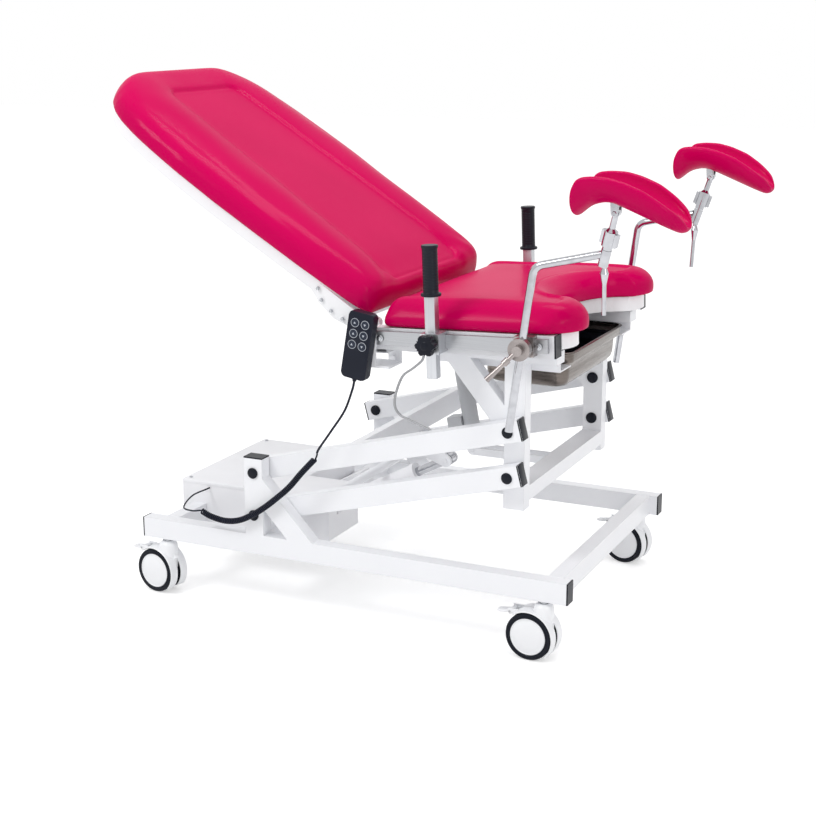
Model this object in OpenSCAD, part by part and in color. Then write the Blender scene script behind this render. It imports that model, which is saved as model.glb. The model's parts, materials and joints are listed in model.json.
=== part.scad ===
// Delivery table: electric examination and delivery couch on four casters.
// Millimetres, +Z up, floor at zero, head end towards -X, near side towards -Y.

/* [Base frame] */
// Length of the two side rails
base_len = 1002; // [900:1:1100]
// Width over the side rails
base_w = 660; // [600:1:720]
// Height of the frame tube
tube_h = 45; // [40:1:50]
// Thickness of the frame tube
tube_b = 32; // [30:1:36]
// Wall of the frame tube
tube_wall = 2; // [1.5:0.5:3]
// Floor to the underside of the side rails
base_z = 128; // [120:1:140]
// Height of the base posts above the rails
post_rise = 171; // [160:1:185]
// Head end of the rails to the middle of the base posts
post_in = 287; // [270:1:300]
// Thickness of the black end caps
cap_t = 3; // [2:0.5:5]

/* [Casters] */
// Wheel diameter
wheel_d = 100; // [90:1:104]
// Width of one wheel of the pair
wheel_w = 18; // [14:1:20]
// Swivel axis to wheel axle
caster_trail = 25; // [20:1:35]
// Rail end to the swivel axis
caster_in = 52; // [45:1:80]
// Diameter of the swivel stem
stem_d = 12; // [10:1:16]
// Swivel angle of each caster: near foot, near head, far foot, far head
swivel = [-4, -9, -9, 18];

/* [Lift arms] */
// Distance between the two pivots of an arm
arm_len = 590.5; // [560:0.5:620]
// Height between the upper and the lower pivots
arm_gap = 95; // [85:1:110]
// Arm angle above level as shown
arm_tilt = 14.5; // [5:0.5:25]
// Height of the upper base pivot
pivot_z = 312; // [300:1:325]
// Diameter of the arm pivot pins
pin_d = 16; // [12:1:18]
// Radial clearance of a turning pin
run_gap = 0.05; // [0.02:0.01:0.1]
// Radial clearance of the lower pins on the table posts
open_gap = 0.6; // [0.4:0.1:1]
// Side gap between arm and post
side_gap = 2; // [1:0.5:3]

/* [Table frame] */
// Bottom of the table posts
tpost_z = 291; // [280:1:300]
// Underside of the table side tubes
top_z = 597; // [590:1:605]
// Height of the table side tubes
top_h = 25; // [20:1:30]
// Length of the table side tubes
top_len = 350; // [330:1:370]
// Level of the basin runners
runner_z = 577; // [570:1:585]

/* [Seat] */
// Length of the seat side tubes
seat_len = 407; // [380:1:430]
// Width over the seat side tubes
seat_w = 596; // [580:1:620]
// Top of the seat tubes at the foot end
seat_z = 663; // [655:1:672]
// Foot end of the base rails to the foot end of the seat tubes
seat_in = 48; // [40:1:60]
// Seat angle as shown, foot end raised
seat_tilt = 2.2; // [0:0.1:5]
// Thickness of the seat cushion
seat_thick = 62; // [50:1:75]
// Depth of the cut in the front of the seat cushion
cut_deep = 120; // [90:5:150]
// Width of the cut
cut_wide = 330; // [280:10:380]
// Height of the accessory rails
rail_h = 28; // [25:1:30]
// Thickness of the accessory rails
rail_t = 9.5; // [8:0.5:12]
// Stand-off of the accessory rails
rail_off = 8; // [6:1:12]

/* [Backrest] */
// Length of the backrest
back_len = 815; // [760:1:840]
// Widest part of the backrest
back_w = 656; // [620:1:680]
// Thickness of the back cushion
back_thick = 60; // [45:1:75]
// Backrest angle above level as shown
back_tilt = 32.6; // [10:0.1:45]

/* [Basin] */
// Length of the basin
basin_len = 205; // [180:1:230]
// Width of the basin over its step
basin_w = 346; // [320:1:360]
// Depth of the basin
basin_deep = 80; // [60:1:100]

/* [Hand grips] */
// Side of the square post
grip_sq = 22; // [20:1:25]
// Length of the square post
grip_len = 266; // [240:1:300]
// Diameter of the rubber grip
grip_d = 31; // [28:1:36]
// Radial clearance of the post in its clamp
grip_gap = 0.3; // [0.2:0.1:0.5]
// Near and far grip, distance from the foot end of the rails
grip_at = [291, 340];

/* [Leg supports] */
// Diameter of the chromed rod
rod_d = 16; // [14:1:18]
// Length of the upright leg of the rod
rod_up = 340; // [300:1:380]
// Length of the bent leg of the rod
rod_over = 143; // [120:1:160]
// Clamp distance from the foot end of the rails
leg_at = 101; // [90:1:120]
// Length of the knee shell
shell_len = 246; // [220:1:270]
// Width of the knee shell
shell_w = 140; // [120:1:160]

/* [Hand control] */
// Width of the hand control
hand_w = 56; // [50:1:60]
// Length of the hand control
hand_l = 140; // [130:1:150]
// Thickness of the hand control
hand_t = 24; // [20:1:28]
// Diameter of a key
key_d = 15; // [12:1:17]
// Diameter of the thin cord
cord_d = 5; // [4:0.5:6]
// Diameter of the coiled cord
coil_d = 15; // [13:1:18]

/* [Hidden] */

$fn = 48;
// foot end of the base rails in the shared frame
foot_x = 460;
head_x = foot_x - base_len;
rail_y = base_w/2;
in_y = rail_y - tube_b;
rail_top = base_z + tube_h;
// rows of cross tubes, distance of their head-side face from the foot end
cross_foot = 50;
cross_mid = 731;
cross_head = 960;
post_x = head_x + post_in;
post_top = rail_top + post_rise;
pin_r = pin_d/2;
boss_r = pin_r + 4.5;
arm_y = in_y - side_gap;
arm_in = arm_y - tube_b;
tpost_y = arm_in - side_gap;
tpost_in = tpost_y - tube_b;
up_x = post_x;
end_x = up_x + arm_len*cos(arm_tilt);
end_z = pivot_z + arm_len*sin(arm_tilt);
arm_over = 25;
cross_at = 216;
tpost_x = end_x + 1.3;
white = [0.93, 0.93, 0.94];
black = [0.08, 0.08, 0.1];
steel = [0.72, 0.72, 0.74];
pink = [0.88, 0.02, 0.36];
grey = [0.6, 0.6, 0.62];

// lift actuator pivots
lift_bx = foot_x - 675;
lift_bz = 150;
lift_y = 10;
lift_s = 295.1;
lift_n = -97;
lift_tx = up_x + lift_s*cos(arm_tilt) - lift_n*sin(arm_tilt);
lift_tz = pivot_z + lift_s*sin(arm_tilt) + lift_n*cos(arm_tilt);
lift_a = atan2(lift_tz - lift_bz, lift_tx - lift_bx);
lift_l = norm([lift_tx - lift_bx, lift_tz - lift_bz]);
act_pin = 5;

// seat hinge and seat levels
tilt_x = foot_x - 80;
tilt_z = 640;
table_fx = foot_x - 58;
table_hx = table_fx - top_len;
lug_y = tpost_y - 32;
seat_y = seat_w/2;
seat_in_y = seat_y - tube_b;
seat_bot = seat_z - tube_h;
seat_fx = foot_x - seat_in;
seat_hx = seat_fx - seat_len;
rail_cz = seat_bot + 27;
rail_y0 = seat_y + rail_off;
rail_y1 = rail_y0 + rail_t;
rail_hx = seat_hx + 22;
rail_fx = foot_x - 55;
board_t = 12;
cush_hx = seat_hx + 31;
cush_fx = foot_x - 4;
tilt_bx = foot_x - 335;
tilt_bz = 330;
tilt_tx = foot_x - 385;
tilt_tz = 590;
tilt_a = atan2(tilt_tz - tilt_bz, tilt_tx - tilt_bx);
tilt_l = norm([tilt_tx - tilt_bx, tilt_tz - tilt_bz]);

// backrest hinge, pan and actuator
back_x = seat_hx;
back_z = 650;
pan_n0 = -13;
pan_n1 = 13;
back_u0 = 14;
hinge_y = 262;
hinge_t = 6;
ba_y = 110;
ba_x = back_x - 32;
ba_z = 550;
ba_u = 230;
ba_n = -38;
ba_tx = back_x - ba_u*cos(back_tilt) + ba_n*sin(back_tilt);
ba_tz = back_z + ba_u*sin(back_tilt) + ba_n*cos(back_tilt);
ba_a = atan2(ba_tz - ba_z, ba_tx - ba_x);
ba_l = norm([ba_tx - ba_x, ba_tz - ba_z]);

// basin
basin_fx = foot_x - 58;
basin_top = runner_z + 27;
runner_hx = foot_x - 330;

// leg support frame at its clamp
leg_x = foot_x - leg_at;
leg_y = rail_y1 + 22.5;
leg_z = seat_bot + 27 - 1;
leg_lean = 7.7;
leg_rise = 13;
leg_turn = 5.3;
bend_r = 26;
shell_tilt = 15;

// hand control
hand_x = table_hx - 47;
hand_y = rail_y1 + 3 + hand_t/2;
hand_z = 617;
hand_lean = 9.5;

module side(s) {
  if (s < 0) children();
  else mirror([0, 1, 0]) children();
}
module box(x0, y0, z0, x1, y1, z1) {
  translate([x0, y0, z0]) cube([x1 - x0, y1 - y0, z1 - z0]);
}
// cylinder along Y from y0 to y1
module ycyl(x, z, r, y0, y1) {
  translate([x, y1, z]) rotate([90, 0, 0]) cylinder(r = r, h = y1 - y0);
}
// hollow tube lying along X
module tube_x(x0, x1, y0, z0, h = tube_h, b = tube_b, w = tube_wall) {
  difference() {
    box(x0, y0, z0, x1, y0 + b, z0 + h);
    box(x0 - 1, y0 + w, z0 + w, x1 + 1, y0 + b - w, z0 + h - w);
  }
}
module tube_y(y0, y1, x0, z0, h = tube_h, b = tube_b, w = tube_wall) {
  difference() {
    box(x0, y0, z0, x0 + b, y1, z0 + h);
    box(x0 + w, y0 - 1, z0 + w, x0 + b - w, y1 + 1, z0 + h - w);
  }
}
module tube_z(z0, z1, x0, y0, h = tube_h, b = tube_b, w = tube_wall) {
  difference() {
    box(x0, y0, z0, x0 + h, y0 + b, z1);
    box(x0 + w, y0 + w, z0 - 1, x0 + h - w, y0 + b - w, z1 + 1);
  }
}
// arm frame: local X along the arm, origin on the base pivot
module arm_at(z) translate([up_x, 0, z]) rotate([0, -arm_tilt, 0]) children();
module seat_at() translate([tilt_x, 0, tilt_z]) rotate([0, -seat_tilt, 0])
  translate([-tilt_x, 0, -tilt_z]) children();
module back_at() translate([back_x, 0, back_z]) rotate([0, back_tilt, 0]) children();
// actuator frame: local X along the stroke
module act_at(x, y, z, a) translate([x, y, z]) rotate([0, -a, 0]) children();

// Base
module base_half() {
  tube_x(head_x, foot_x, -rail_y, base_z);
  // post with pivot bosses
  difference() {
    union() {
      tube_z(rail_top, post_top, post_x - tube_h/2, -rail_y);
      for (z = [pivot_z, pivot_z - arm_gap]) ycyl(post_x, z, boss_r, -rail_y, -in_y);
    }
    for (z = [pivot_z, pivot_z - arm_gap]) ycyl(post_x, z, pin_r, -rail_y - 1, -in_y + 1);
  }
  // brace from post to rail
  intersection() {
    translate([post_x + tube_h/2, 0, rail_top + 95]) rotate([0, 47, 0])
      tube_x(-60, 200, -rail_y, -tube_h/2);
    box(post_x + tube_h/2, -rail_y, rail_top, post_x + 300, -in_y, post_top);
  }
  for (x = [foot_x - caster_in, head_x + caster_in]) {
    difference() {
      translate([x, -rail_y + tube_b/2, base_z]) cylinder(r = stem_d/2 + 5, h = 34);
      translate([x, -rail_y + tube_b/2, base_z - 1]) cylinder(r = stem_d/2, h = 40);
    }
  }
}
module base_frame() color(white) {
  difference() {
    union() {
      for (s = [-1, 1]) side(s) base_half();
      for (c = [cross_foot, cross_mid, cross_head])
        tube_y(-in_y, in_y, foot_x - c, base_z);
      // lift actuator bracket on the middle cross tube
      for (s = [-1, 1]) {
        box(foot_x - cross_mid + tube_b, lift_y - 3 + s*17, lift_bz - 12,
          lift_bx, lift_y + 3 + s*17, lift_bz + 12);
        ycyl(lift_bx, lift_bz, 12, lift_y - 3 + s*17, lift_y + 3 + s*17);
      }
    }
    for (s = [-1, 1]) side(s) for (x = [foot_x - caster_in, head_x + caster_in])
      translate([x, -rail_y + tube_b/2, base_z - 1]) cylinder(r = stem_d/2, h = 30);
    ycyl(lift_bx, lift_bz, act_pin, lift_y - 30, lift_y + 30);
  }
}
module base_fittings() color(black) {
  for (s = [-1, 1]) side(s) {
    for (z = [pivot_z, pivot_z - arm_gap]) {
      ycyl(post_x, z, pin_r, -rail_y, -arm_in - 0.2);
      ycyl(post_x, z, pin_r + 3.5, -rail_y - 3, -rail_y);
    }
    box(foot_x, -rail_y, base_z, foot_x + cap_t, -in_y, rail_top);
    box(head_x - cap_t, -rail_y, base_z, head_x, -in_y, rail_top);
    box(post_x - tube_h/2, -rail_y, post_top, post_x + tube_h/2, -in_y, post_top + cap_t);
  }
  ycyl(lift_bx, lift_bz, act_pin, lift_y - 22, lift_y + 22);
}
module control_box() color(white) {
  x0 = foot_x - 990;
  x1 = foot_x - 735;
  x2 = foot_x - 608;
  z0 = base_z;
  z1 = 225;
  difference() {
    union() {
      box(x0, -185, z0, x1, 185, z1);
      box(x0, -188, z0, x2, -46, z1);
    }
    box(x0 + 2, -183, z0 - 1, x1 - 2, 183, z1 - 2);
    box(x0 + 2, -186, z0 - 1, x2 - 2, -48, z1 - 2);
    for (c = [cross_mid, cross_head])
      box(foot_x - c - 0.5, -300, z0 - 1, foot_x - c + tube_b + 0.5, 300, rail_top);
    // cooling slots in the foot face
    for (i = [0:4]) box(x2 - 3, -150 + i*18, z1 - 45, x2 + 1, -142 + i*18, z1 - 15);
  }
}

// Casters, built with the trail towards the head
module caster_at(i) {
  s = i < 2 ? -1 : 1;
  x = (i == 0 || i == 2) ? foot_x - caster_in : head_x + caster_in;
  translate([x, s*(rail_y - tube_b/2), 0]) rotate([0, 0, swivel[i]]) children();
}
web = 6;
wheel_gap = 1.5;
module caster_fork(i) color(white) caster_at(i) {
  r = wheel_d/2;
  difference() {
    union() {
      translate([0, 0, 52]) cylinder(r = 21, h = base_z - 58);
      translate([0, 0, base_z - 6]) cylinder(r1 = 21, r2 = 18, h = 3);
      ycyl(-caster_trail, r, r - 4, -web, web);
      // mudguard over both wheels
      intersection() {
        difference() {
          ycyl(-caster_trail, r, r + 5, -web - wheel_w - 4, web + wheel_w + 4);
          ycyl(-caster_trail, r, r + 2, -web - wheel_w - 5, web + wheel_w + 5);
        }
        box(-caster_trail - 42, -40, r + 8, 8, 40, r + 60);
      }
      box(-caster_trail - 36, -web, r + 20, 0, web, r + 50);
      // ears that carry the brake pedal
      for (s = [-1, 1])
        box(-caster_trail - 49, s*14.5 - 1.5, r + 39, -caster_trail - 25, s*14.5 + 1.5, r + 51);
    }
    for (s = [-1, 1]) ycyl(-caster_trail, r, r + wheel_gap,
      s > 0 ? web : -web - wheel_w - 5, s > 0 ? web + wheel_w + 5 : -web);
    ycyl(-caster_trail, r, 6 + run_gap, -30, 30);
    ycyl(-caster_trail - 44, r + 44, 2.5, -30, 30);
  }
  ycyl(-caster_trail - 44, r + 44, 2.5, -16, 16);
  translate([0, 0, base_z - 4]) cylinder(r = stem_d/2 - run_gap, h = 32);
}
module caster_wheels(i) color(black) caster_at(i) {
  r = wheel_d/2;
  for (s = [-1, 1]) translate([-caster_trail, s*(web + 0.5 + wheel_w/2), r]) rotate([90, 0, 0]) {
    // tyre
    rotate_extrude() polygon([[38, -wheel_w/2], [r - 3, -wheel_w/2], [r, -wheel_w/2 + 4],
      [r, wheel_w/2 - 4], [r - 3, wheel_w/2], [38, wheel_w/2]]);
    // wheel disc
    translate([0, 0, -wheel_w/2 + 1]) cylinder(r = 38, h = wheel_w - 2);
  }
  ycyl(-caster_trail, r, 6, -web - 1, web + 1);
}
module caster_pedal(i) color(white) caster_at(i) {
  r = wheel_d/2;
  translate([-caster_trail - 44, 0, r + 44]) difference() {
    union() {
      ycyl(0, 0, 4.5, -12, 12);
      rotate([0, -12, 0]) box(-32, -11, -2, -3, 11, 2.6);
    }
    ycyl(0, 0, 2.5 + run_gap, -20, 20);
  }
}

// Lift arms
module arm_pair(z, y_hole_end) {
  arm_at(z) difference() {
    union() {
      for (s = [-1, 1]) side(s) {
        tube_x(-arm_over, arm_len + arm_over, -arm_y, -tube_h/2);
        for (x = [0, arm_len]) ycyl(x, 0, boss_r, -arm_y, -arm_in);
      }
      children();
    }
    for (s = [-1, 1]) side(s) {
      ycyl(0, 0, pin_r + run_gap, -arm_y - 1, -arm_in + 1);
      ycyl(arm_len, 0, pin_r + y_hole_end, -arm_y - 1, -arm_in + 1);
    }
  }
  arm_at(z) for (s = [-1, 1]) side(s) {
    for (x = [-arm_over - cap_t, arm_len + arm_over])
      box(x, -arm_y, -tube_h/2, x + cap_t, -arm_in, tube_h/2);
    ycyl(0, 0, pin_r + 3.5, -arm_in, -arm_in + 3);
    ycyl(arm_len, 0, pin_r + 3.5, -arm_y - 2 - 0.6, -arm_y);
  }
}
module upper_arms() color(white) {
  arm_pair(pivot_z, run_gap) {
    tube_y(-arm_in, arm_in, cross_at, -tube_h/2);
    // lever plates that carry the lift actuator
    for (s = [-1, 1]) difference() {
      union() {
        translate([0, lift_y + s*17 + 3, 0]) rotate([90, 0, 0]) linear_extrude(6)
          polygon([[cross_at, -20], [cross_at + tube_b, -20], [cross_at + tube_b + 8, -22.5],
            [lift_s + 12, lift_n + 6], [lift_s - 10, lift_n - 10], [cross_at, -60]]);
        ycyl(lift_s, lift_n, 14, lift_y + s*17 - 3, lift_y + s*17 + 3);
      }
      ycyl(lift_s, lift_n, act_pin, lift_y - 30, lift_y + 30);
    }
  }
  arm_at(pivot_z) ycyl(lift_s, lift_n, act_pin, lift_y - 22, lift_y + 22);
}
module lower_arms() color(white) {
  arm_pair(pivot_z - arm_gap, open_gap) {
    ycyl(150, 0, 10, -arm_in, arm_in);
  }
}

// Linear actuators: body from the pivot eye, rod with an eye at the far end
module act_body(len, r, motor, flip, neck = 14, bore = 60) {
  difference() {
    union() {
      translate([neck, 0, 0]) rotate([0, 90, 0]) cylinder(r = r, h = len - neck);
      translate([len - 6, 0, 0]) rotate([0, 90, 0]) cylinder(r = r + 2, h = 10);
      ycyl(0, 0, 11, -13, 13);
      box(0, -9, -9, neck + 4, 9, 9);
      translate([neck + 2, -r, flip*(r + 14) - 16]) cube([motor, 2*r, 34]);
    }
    ycyl(0, 0, act_pin + run_gap, -14, 14);
    translate([bore, 0, 0]) rotate([0, 90, 0]) cylinder(r = r*0.5 + run_gap, h = len + 20);
  }
}
module act_rod(len, from, r, eye) {
  difference() {
    union() {
      translate([from, 0, 0]) rotate([0, 90, 0]) cylinder(r = r, h = len - from);
      ycyl(len, 0, eye + 4, -11, 11);
    }
    ycyl(len, 0, eye, -12, 12);
  }
}
module lift_body() color(white) act_at(lift_bx, lift_y, lift_bz, lift_a) act_body(214, 21, 75, 1);
module lift_rod() color(steel) act_at(lift_bx, lift_y, lift_bz, lift_a)
  act_rod(lift_l, 120, 10.5, act_pin + 5);
module tilt_body() color(grey) act_at(tilt_bx, 0, tilt_bz, tilt_a) act_body(205, 18, 60, 1);
module tilt_rod() color(steel) act_at(tilt_bx, 0, tilt_bz, tilt_a) act_rod(tilt_l, 100, 9, act_pin + 3);
module back_body() color(grey) act_at(ba_x, ba_y, ba_z, ba_a) act_body(180, 18, 60, 1, 30, 46);
module back_rod() color(steel) act_at(ba_x, ba_y, ba_z, ba_a) act_rod(ba_l, 110, 9, act_pin + 9);

// Table frame
module table_frame() color(white) {
  px = tpost_x - tube_h/2;
  difference() {
    union() {
      for (s = [-1, 1]) side(s) {
        tube_z(tpost_z, top_z, px, -tpost_y);
        for (z = [end_z, end_z - arm_gap]) ycyl(end_x, z, boss_r, -tpost_y, -tpost_in);
        tube_x(table_hx, table_fx, -tpost_y, top_z, top_h, tube_h);
        intersection() {
          translate([px, 0, top_z - 127]) rotate([0, 50.4, 0]) tube_x(-220, 60, -tpost_y, -tube_h/2);
          box(px - 300, -tpost_y, tpost_z, px, -tpost_in, top_z);
        }
        // basin runner
        box(runner_hx, -tpost_in - 3, runner_z, basin_fx, -tpost_in, top_z);
        box(runner_hx, -tpost_in, runner_z, basin_fx, -basin_w/2 + 5, runner_z + 3);
        // seat hinge lug
        box(tilt_x - 11, -lug_y, top_z + top_h - 1, tilt_x + 11, -lug_y + 8, tilt_z);
        ycyl(tilt_x, tilt_z, 10, -lug_y, -lug_y + 8);
      }
      tube_y(-tpost_in, tpost_in, px, tpost_z + 12, tube_b, tube_h);
      tube_y(-tpost_in + 13, tpost_in - 13, foot_x - 350, top_z, top_h, tube_b);
      // carrier of the seat tilt actuator
      for (s = [-1, 1]) difference() {
        union() {
          box(tilt_bx, s*17 - 3, tilt_bz - 12, px, s*17 + 3, tilt_bz + 5);
          ycyl(tilt_bx, tilt_bz, 12, s*17 - 3, s*17 + 3);
        }
        ycyl(tilt_bx, tilt_bz, act_pin, -30, 30);
      }
    }
    for (z = [end_z, end_z - arm_gap]) ycyl(end_x, z, pin_r, -400, 400);
    ycyl(tilt_x, tilt_z, act_pin, -400, 400);
  }
  for (s = [-1, 1]) side(s) {
    for (z = [end_z, end_z - arm_gap]) {
      ycyl(end_x, z, pin_r, -arm_y + 0.5, -tpost_in);
      ycyl(end_x, z, pin_r + 3.5, -tpost_in, -tpost_in + 3);
    }
    ycyl(tilt_x, tilt_z, act_pin, -lug_y - 13, -lug_y + 8);
    box(table_fx, -tpost_y, top_z, table_fx + cap_t, -tpost_y + tube_h, top_z + top_h);
    box(px, -tpost_y, tpost_z - 2, px + tube_h, -tpost_in, tpost_z);
  }
  ycyl(tilt_bx, tilt_bz, act_pin, -22, 22);
  // hanger of the hand control
  hx = table_hx;
  hy = hand_y - hand_t/2;
  box(hx, -tpost_y, 574, hx + 14, -tpost_y + 5, top_z + 2);
  box(hx - 42, -hy, 570, hx + 14, -tpost_y + 5, 575);
  box(hx - 42, -hy, 570, hx - 16, -hy + 3, 640);
}
module basin() color(steel) {
  x0 = basin_fx - basin_len;
  zs = runner_z + 3 + 0.3;
  difference() {
    union() {
      rbox(x0, -basin_w/2, zs, basin_fx, basin_w/2, basin_top, 22);
      rbox(x0 + 10, -basin_w/2 + 10, basin_top - basin_deep, basin_fx - 10, basin_w/2 - 10, zs, 24);
      rbox(x0 - 5, -basin_w/2 - 3, basin_top - 3, basin_fx + 5, basin_w/2 + 3, basin_top, 25);
    }
    rbox(x0 + 1.5, -basin_w/2 + 1.5, zs + 1.5, basin_fx - 1.5, basin_w/2 - 1.5, basin_top + 1, 20);
    rbox(x0 + 12, -basin_w/2 + 12, basin_top - basin_deep + 1.5, basin_fx - 12, basin_w/2 - 12, zs + 2, 22);
  }
}
// upright box with rounded vertical edges
module rbox(x0, y0, z0, x1, y1, z1, r) {
  translate([0, 0, z0]) linear_extrude(z1 - z0) {
    translate([x0 + r, y0]) square([x1 - x0 - 2*r, y1 - y0]);
    translate([x0, y0 + r]) square([x1 - x0, y1 - y0 - 2*r]);
    for (x = [x0 + r, x1 - r]) for (y = [y0 + r, y1 - r]) translate([x, y]) circle(r = r);
  }
}

// Seat
module seat_frame() color(white) {
  seat_ends();
  seat_at() seat_tubes();
}
module seat_tubes() {
  difference() {
    union() {
      for (s = [-1, 1]) side(s) {
        tube_x(seat_hx, seat_fx, -seat_y, seat_bot);
        for (x = [rail_hx + 18, (rail_hx + rail_fx)/2, rail_fx - 18]) ycyl(x, rail_cz, 7, -rail_y0, -seat_y);
        // seat hinge lug under the board
        box(tilt_x - 11, -lug_y - 10, tilt_z, tilt_x + 11, -lug_y - 2, seat_z - board_t);
        ycyl(tilt_x, tilt_z, 10, -lug_y - 10, -lug_y - 2);
      }
      tube_y(-seat_in_y, seat_in_y, seat_hx, seat_bot - 15, 30, 30);
      // near bracket with its bolt
      box(seat_hx + 2, -206, seat_bot - 50, seat_hx + 26, -200, seat_bot - 10);
      ycyl(seat_hx + 14, seat_bot - 40, 9, -212, -200);
    }
    ycyl(tilt_x, tilt_z, act_pin + run_gap, -300, 300);
  }
}
// backrest hinge lugs and back actuator bracket at the head end
module seat_ends() {
  for (s = [-1, 1]) side(s) {
    translate([back_x, -hinge_y + hinge_t, back_z]) rotate([90, 0, 0]) linear_extrude(hinge_t)
      polygon([[29, -50], [29, -26], [11, 2], [0, 12], [-12, 0], [-2, -30], [2, -50]]);
    ycyl(back_x, back_z, 12, -hinge_y, -hinge_y + hinge_t);
    ycyl(back_x, back_z, pin_r, -hinge_y, -hinge_y + 2*hinge_t + 4);
    ycyl(back_x, back_z, pin_r + 3, -hinge_y + 2*hinge_t + 2, -hinge_y + 2*hinge_t + 5);
  }
  for (s = [-1, 1]) {
    translate([ba_x, ba_y + s*17 + 3, ba_z]) rotate([90, 0, 0]) linear_extrude(6)
      polygon([[-8, -10], [8, -12], [58, 42], [58, 66], [34, 66], [-10, 8]]);
    ycyl(ba_x, ba_z, 12, ba_y + s*17 - 3, ba_y + s*17 + 3);
  }
  ycyl(ba_x, ba_z, act_pin, ba_y - 22, ba_y + 22);
  // bracket of the tilt actuator rod
  for (s = [-1, 1]) {
    box(seat_hx + 15, s*17 - 3, tilt_tz + 1, tilt_tx, s*17 + 3, tilt_tz + 18);
    ycyl(tilt_tx, tilt_tz, 12, s*17 - 3, s*17 + 3);
    box(seat_hx + 15, s*17 - 3, tilt_tz + 1, tilt_tx + 6, s*17 + 3, tilt_tz + 10);
  }
  ycyl(tilt_tx, tilt_tz, act_pin, -22, 22);
}
module seat_rails() color(steel) seat_at() for (s = [-1, 1]) side(s) {
  box(rail_hx, -rail_y1, rail_cz - rail_h/2, rail_fx, -rail_y0, rail_cz + rail_h/2);
  for (x = [rail_hx + 18, rail_fx - 18]) ycyl(x, rail_cz, 6, -rail_y1 - 2.5, -rail_y1);
}
module seat_caps() color(black) seat_at() for (s = [-1, 1]) side(s) {
  box(seat_fx, -seat_y, seat_bot, seat_fx + cap_t, -seat_in_y, seat_z);
  box(seat_hx - cap_t, -seat_y, seat_bot, seat_hx, -seat_in_y, seat_z - 16);
}
// plan of the seat cushion: front edge as a function of y
lobe = 5;
function front(y) = let(a = abs(y), c = cut_wide/2, w = seat_w/2 + lobe)
  a < c ? cush_fx - 22 - (cut_deep - 22)*sqrt(1 - pow(a/c, 2.2))
  : cush_fx - 26*pow(abs(a - (c + 55))/55, 2)*(a < c + 55 ? 0.85 : 0)
    - 62*pow(max(0, (a - (c + 55))/(w - c - 55)), 2.4);
module board_plan(inset) {
  n = 40;
  w = seat_in_y - 0.4;
  polygon(concat([[seat_hx + tube_b + 0.4, w], [seat_hx + tube_b + 0.4, -w]],
    [for (i = [0:n]) let(y = -w + 2*w*i/n) [front(y) - inset, y]]));
}
module seat_board() color(white) seat_at() {
  translate([0, 0, seat_z - board_t]) linear_extrude(board_t - 0.2) board_plan(25);
  // skirt along the front edge
  translate([0, 0, seat_z - board_t - 20]) linear_extrude(20) difference() {
    board_plan(25);
    board_plan(29);
    translate([cush_hx - 10, -400]) square([240, 800]);
  }
}
// closed skin through rows of points, rows have equal length
module skin(rows) {
  n = len(rows);
  m = len(rows[0]);
  pts = [for (r = rows) for (p = r) p];
  sides = [for (i = [0:n - 2]) for (j = [0:m - 1]) for (k = [0, 1])
    k == 0 ? [i*m + j, i*m + (j + 1)%m, (i + 1)*m + j]
           : [i*m + (j + 1)%m, (i + 1)*m + (j + 1)%m, (i + 1)*m + j]];
  h = m/2;
  ends = [for (e = [0, (n - 1)*m]) for (j = [0:h - 2]) for (k = [0, 1])
    let(q = k == 0 ? [e + j, e + m - 1 - j, e + m - 2 - j] : [e + j, e + m - 2 - j, e + j + 1])
    e == 0 ? q : [q[0], q[2], q[1]]];
  polyhedron(pts, concat(sides, ends), convexity = 6);
}
// rounded thickness factor across a span, 0 at the rim and 1 inside
function swell(d, r) = d >= r ? 1 : sqrt(max(0, 1 - pow(1 - d/r, 2)));
seat_rows = 30;
seat_cols = 13;
function seat_y_at(i) = (seat_w/2 + lobe)*sin(90*(2*i/seat_rows - 1));
module seat_cushion() color(pink) seat_at() {
  w = seat_w/2 + lobe;
  zb = seat_z + 0.3;
  skin([for (i = [1:seat_rows - 1]) let(y = seat_y_at(i), e = swell(w - abs(y), 60), xf = front(y),
      xh = cush_hx + 8*(1 - e))
    concat(
      [for (j = [0:seat_cols]) let(t = j/seat_cols, x = xf + (xh - xf)*(0.5 - 0.5*cos(180*t)),
          d = xf - x, g = swell(d, 85)*swell(x - xh, 30), k = 22 + (seat_thick - 22)*e*g,
          rim = exp(-pow((w - abs(y) - 62)/9, 2)) + exp(-pow((d - 70)/9, 2)))
        [x, y, zb + k*(0.55 + 0.45*e) - 3.5*rim*e*g]],
      [for (j = [0:seat_cols]) let(t = j/seat_cols, x = xh + (xf - xh)*(0.5 - 0.5*cos(180*t)),
          g = swell(min(xf - x, x - xh), 16))
        [x, y, zb + 4*(1 - g) + 3*(1 - e)]])]);
}

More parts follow.
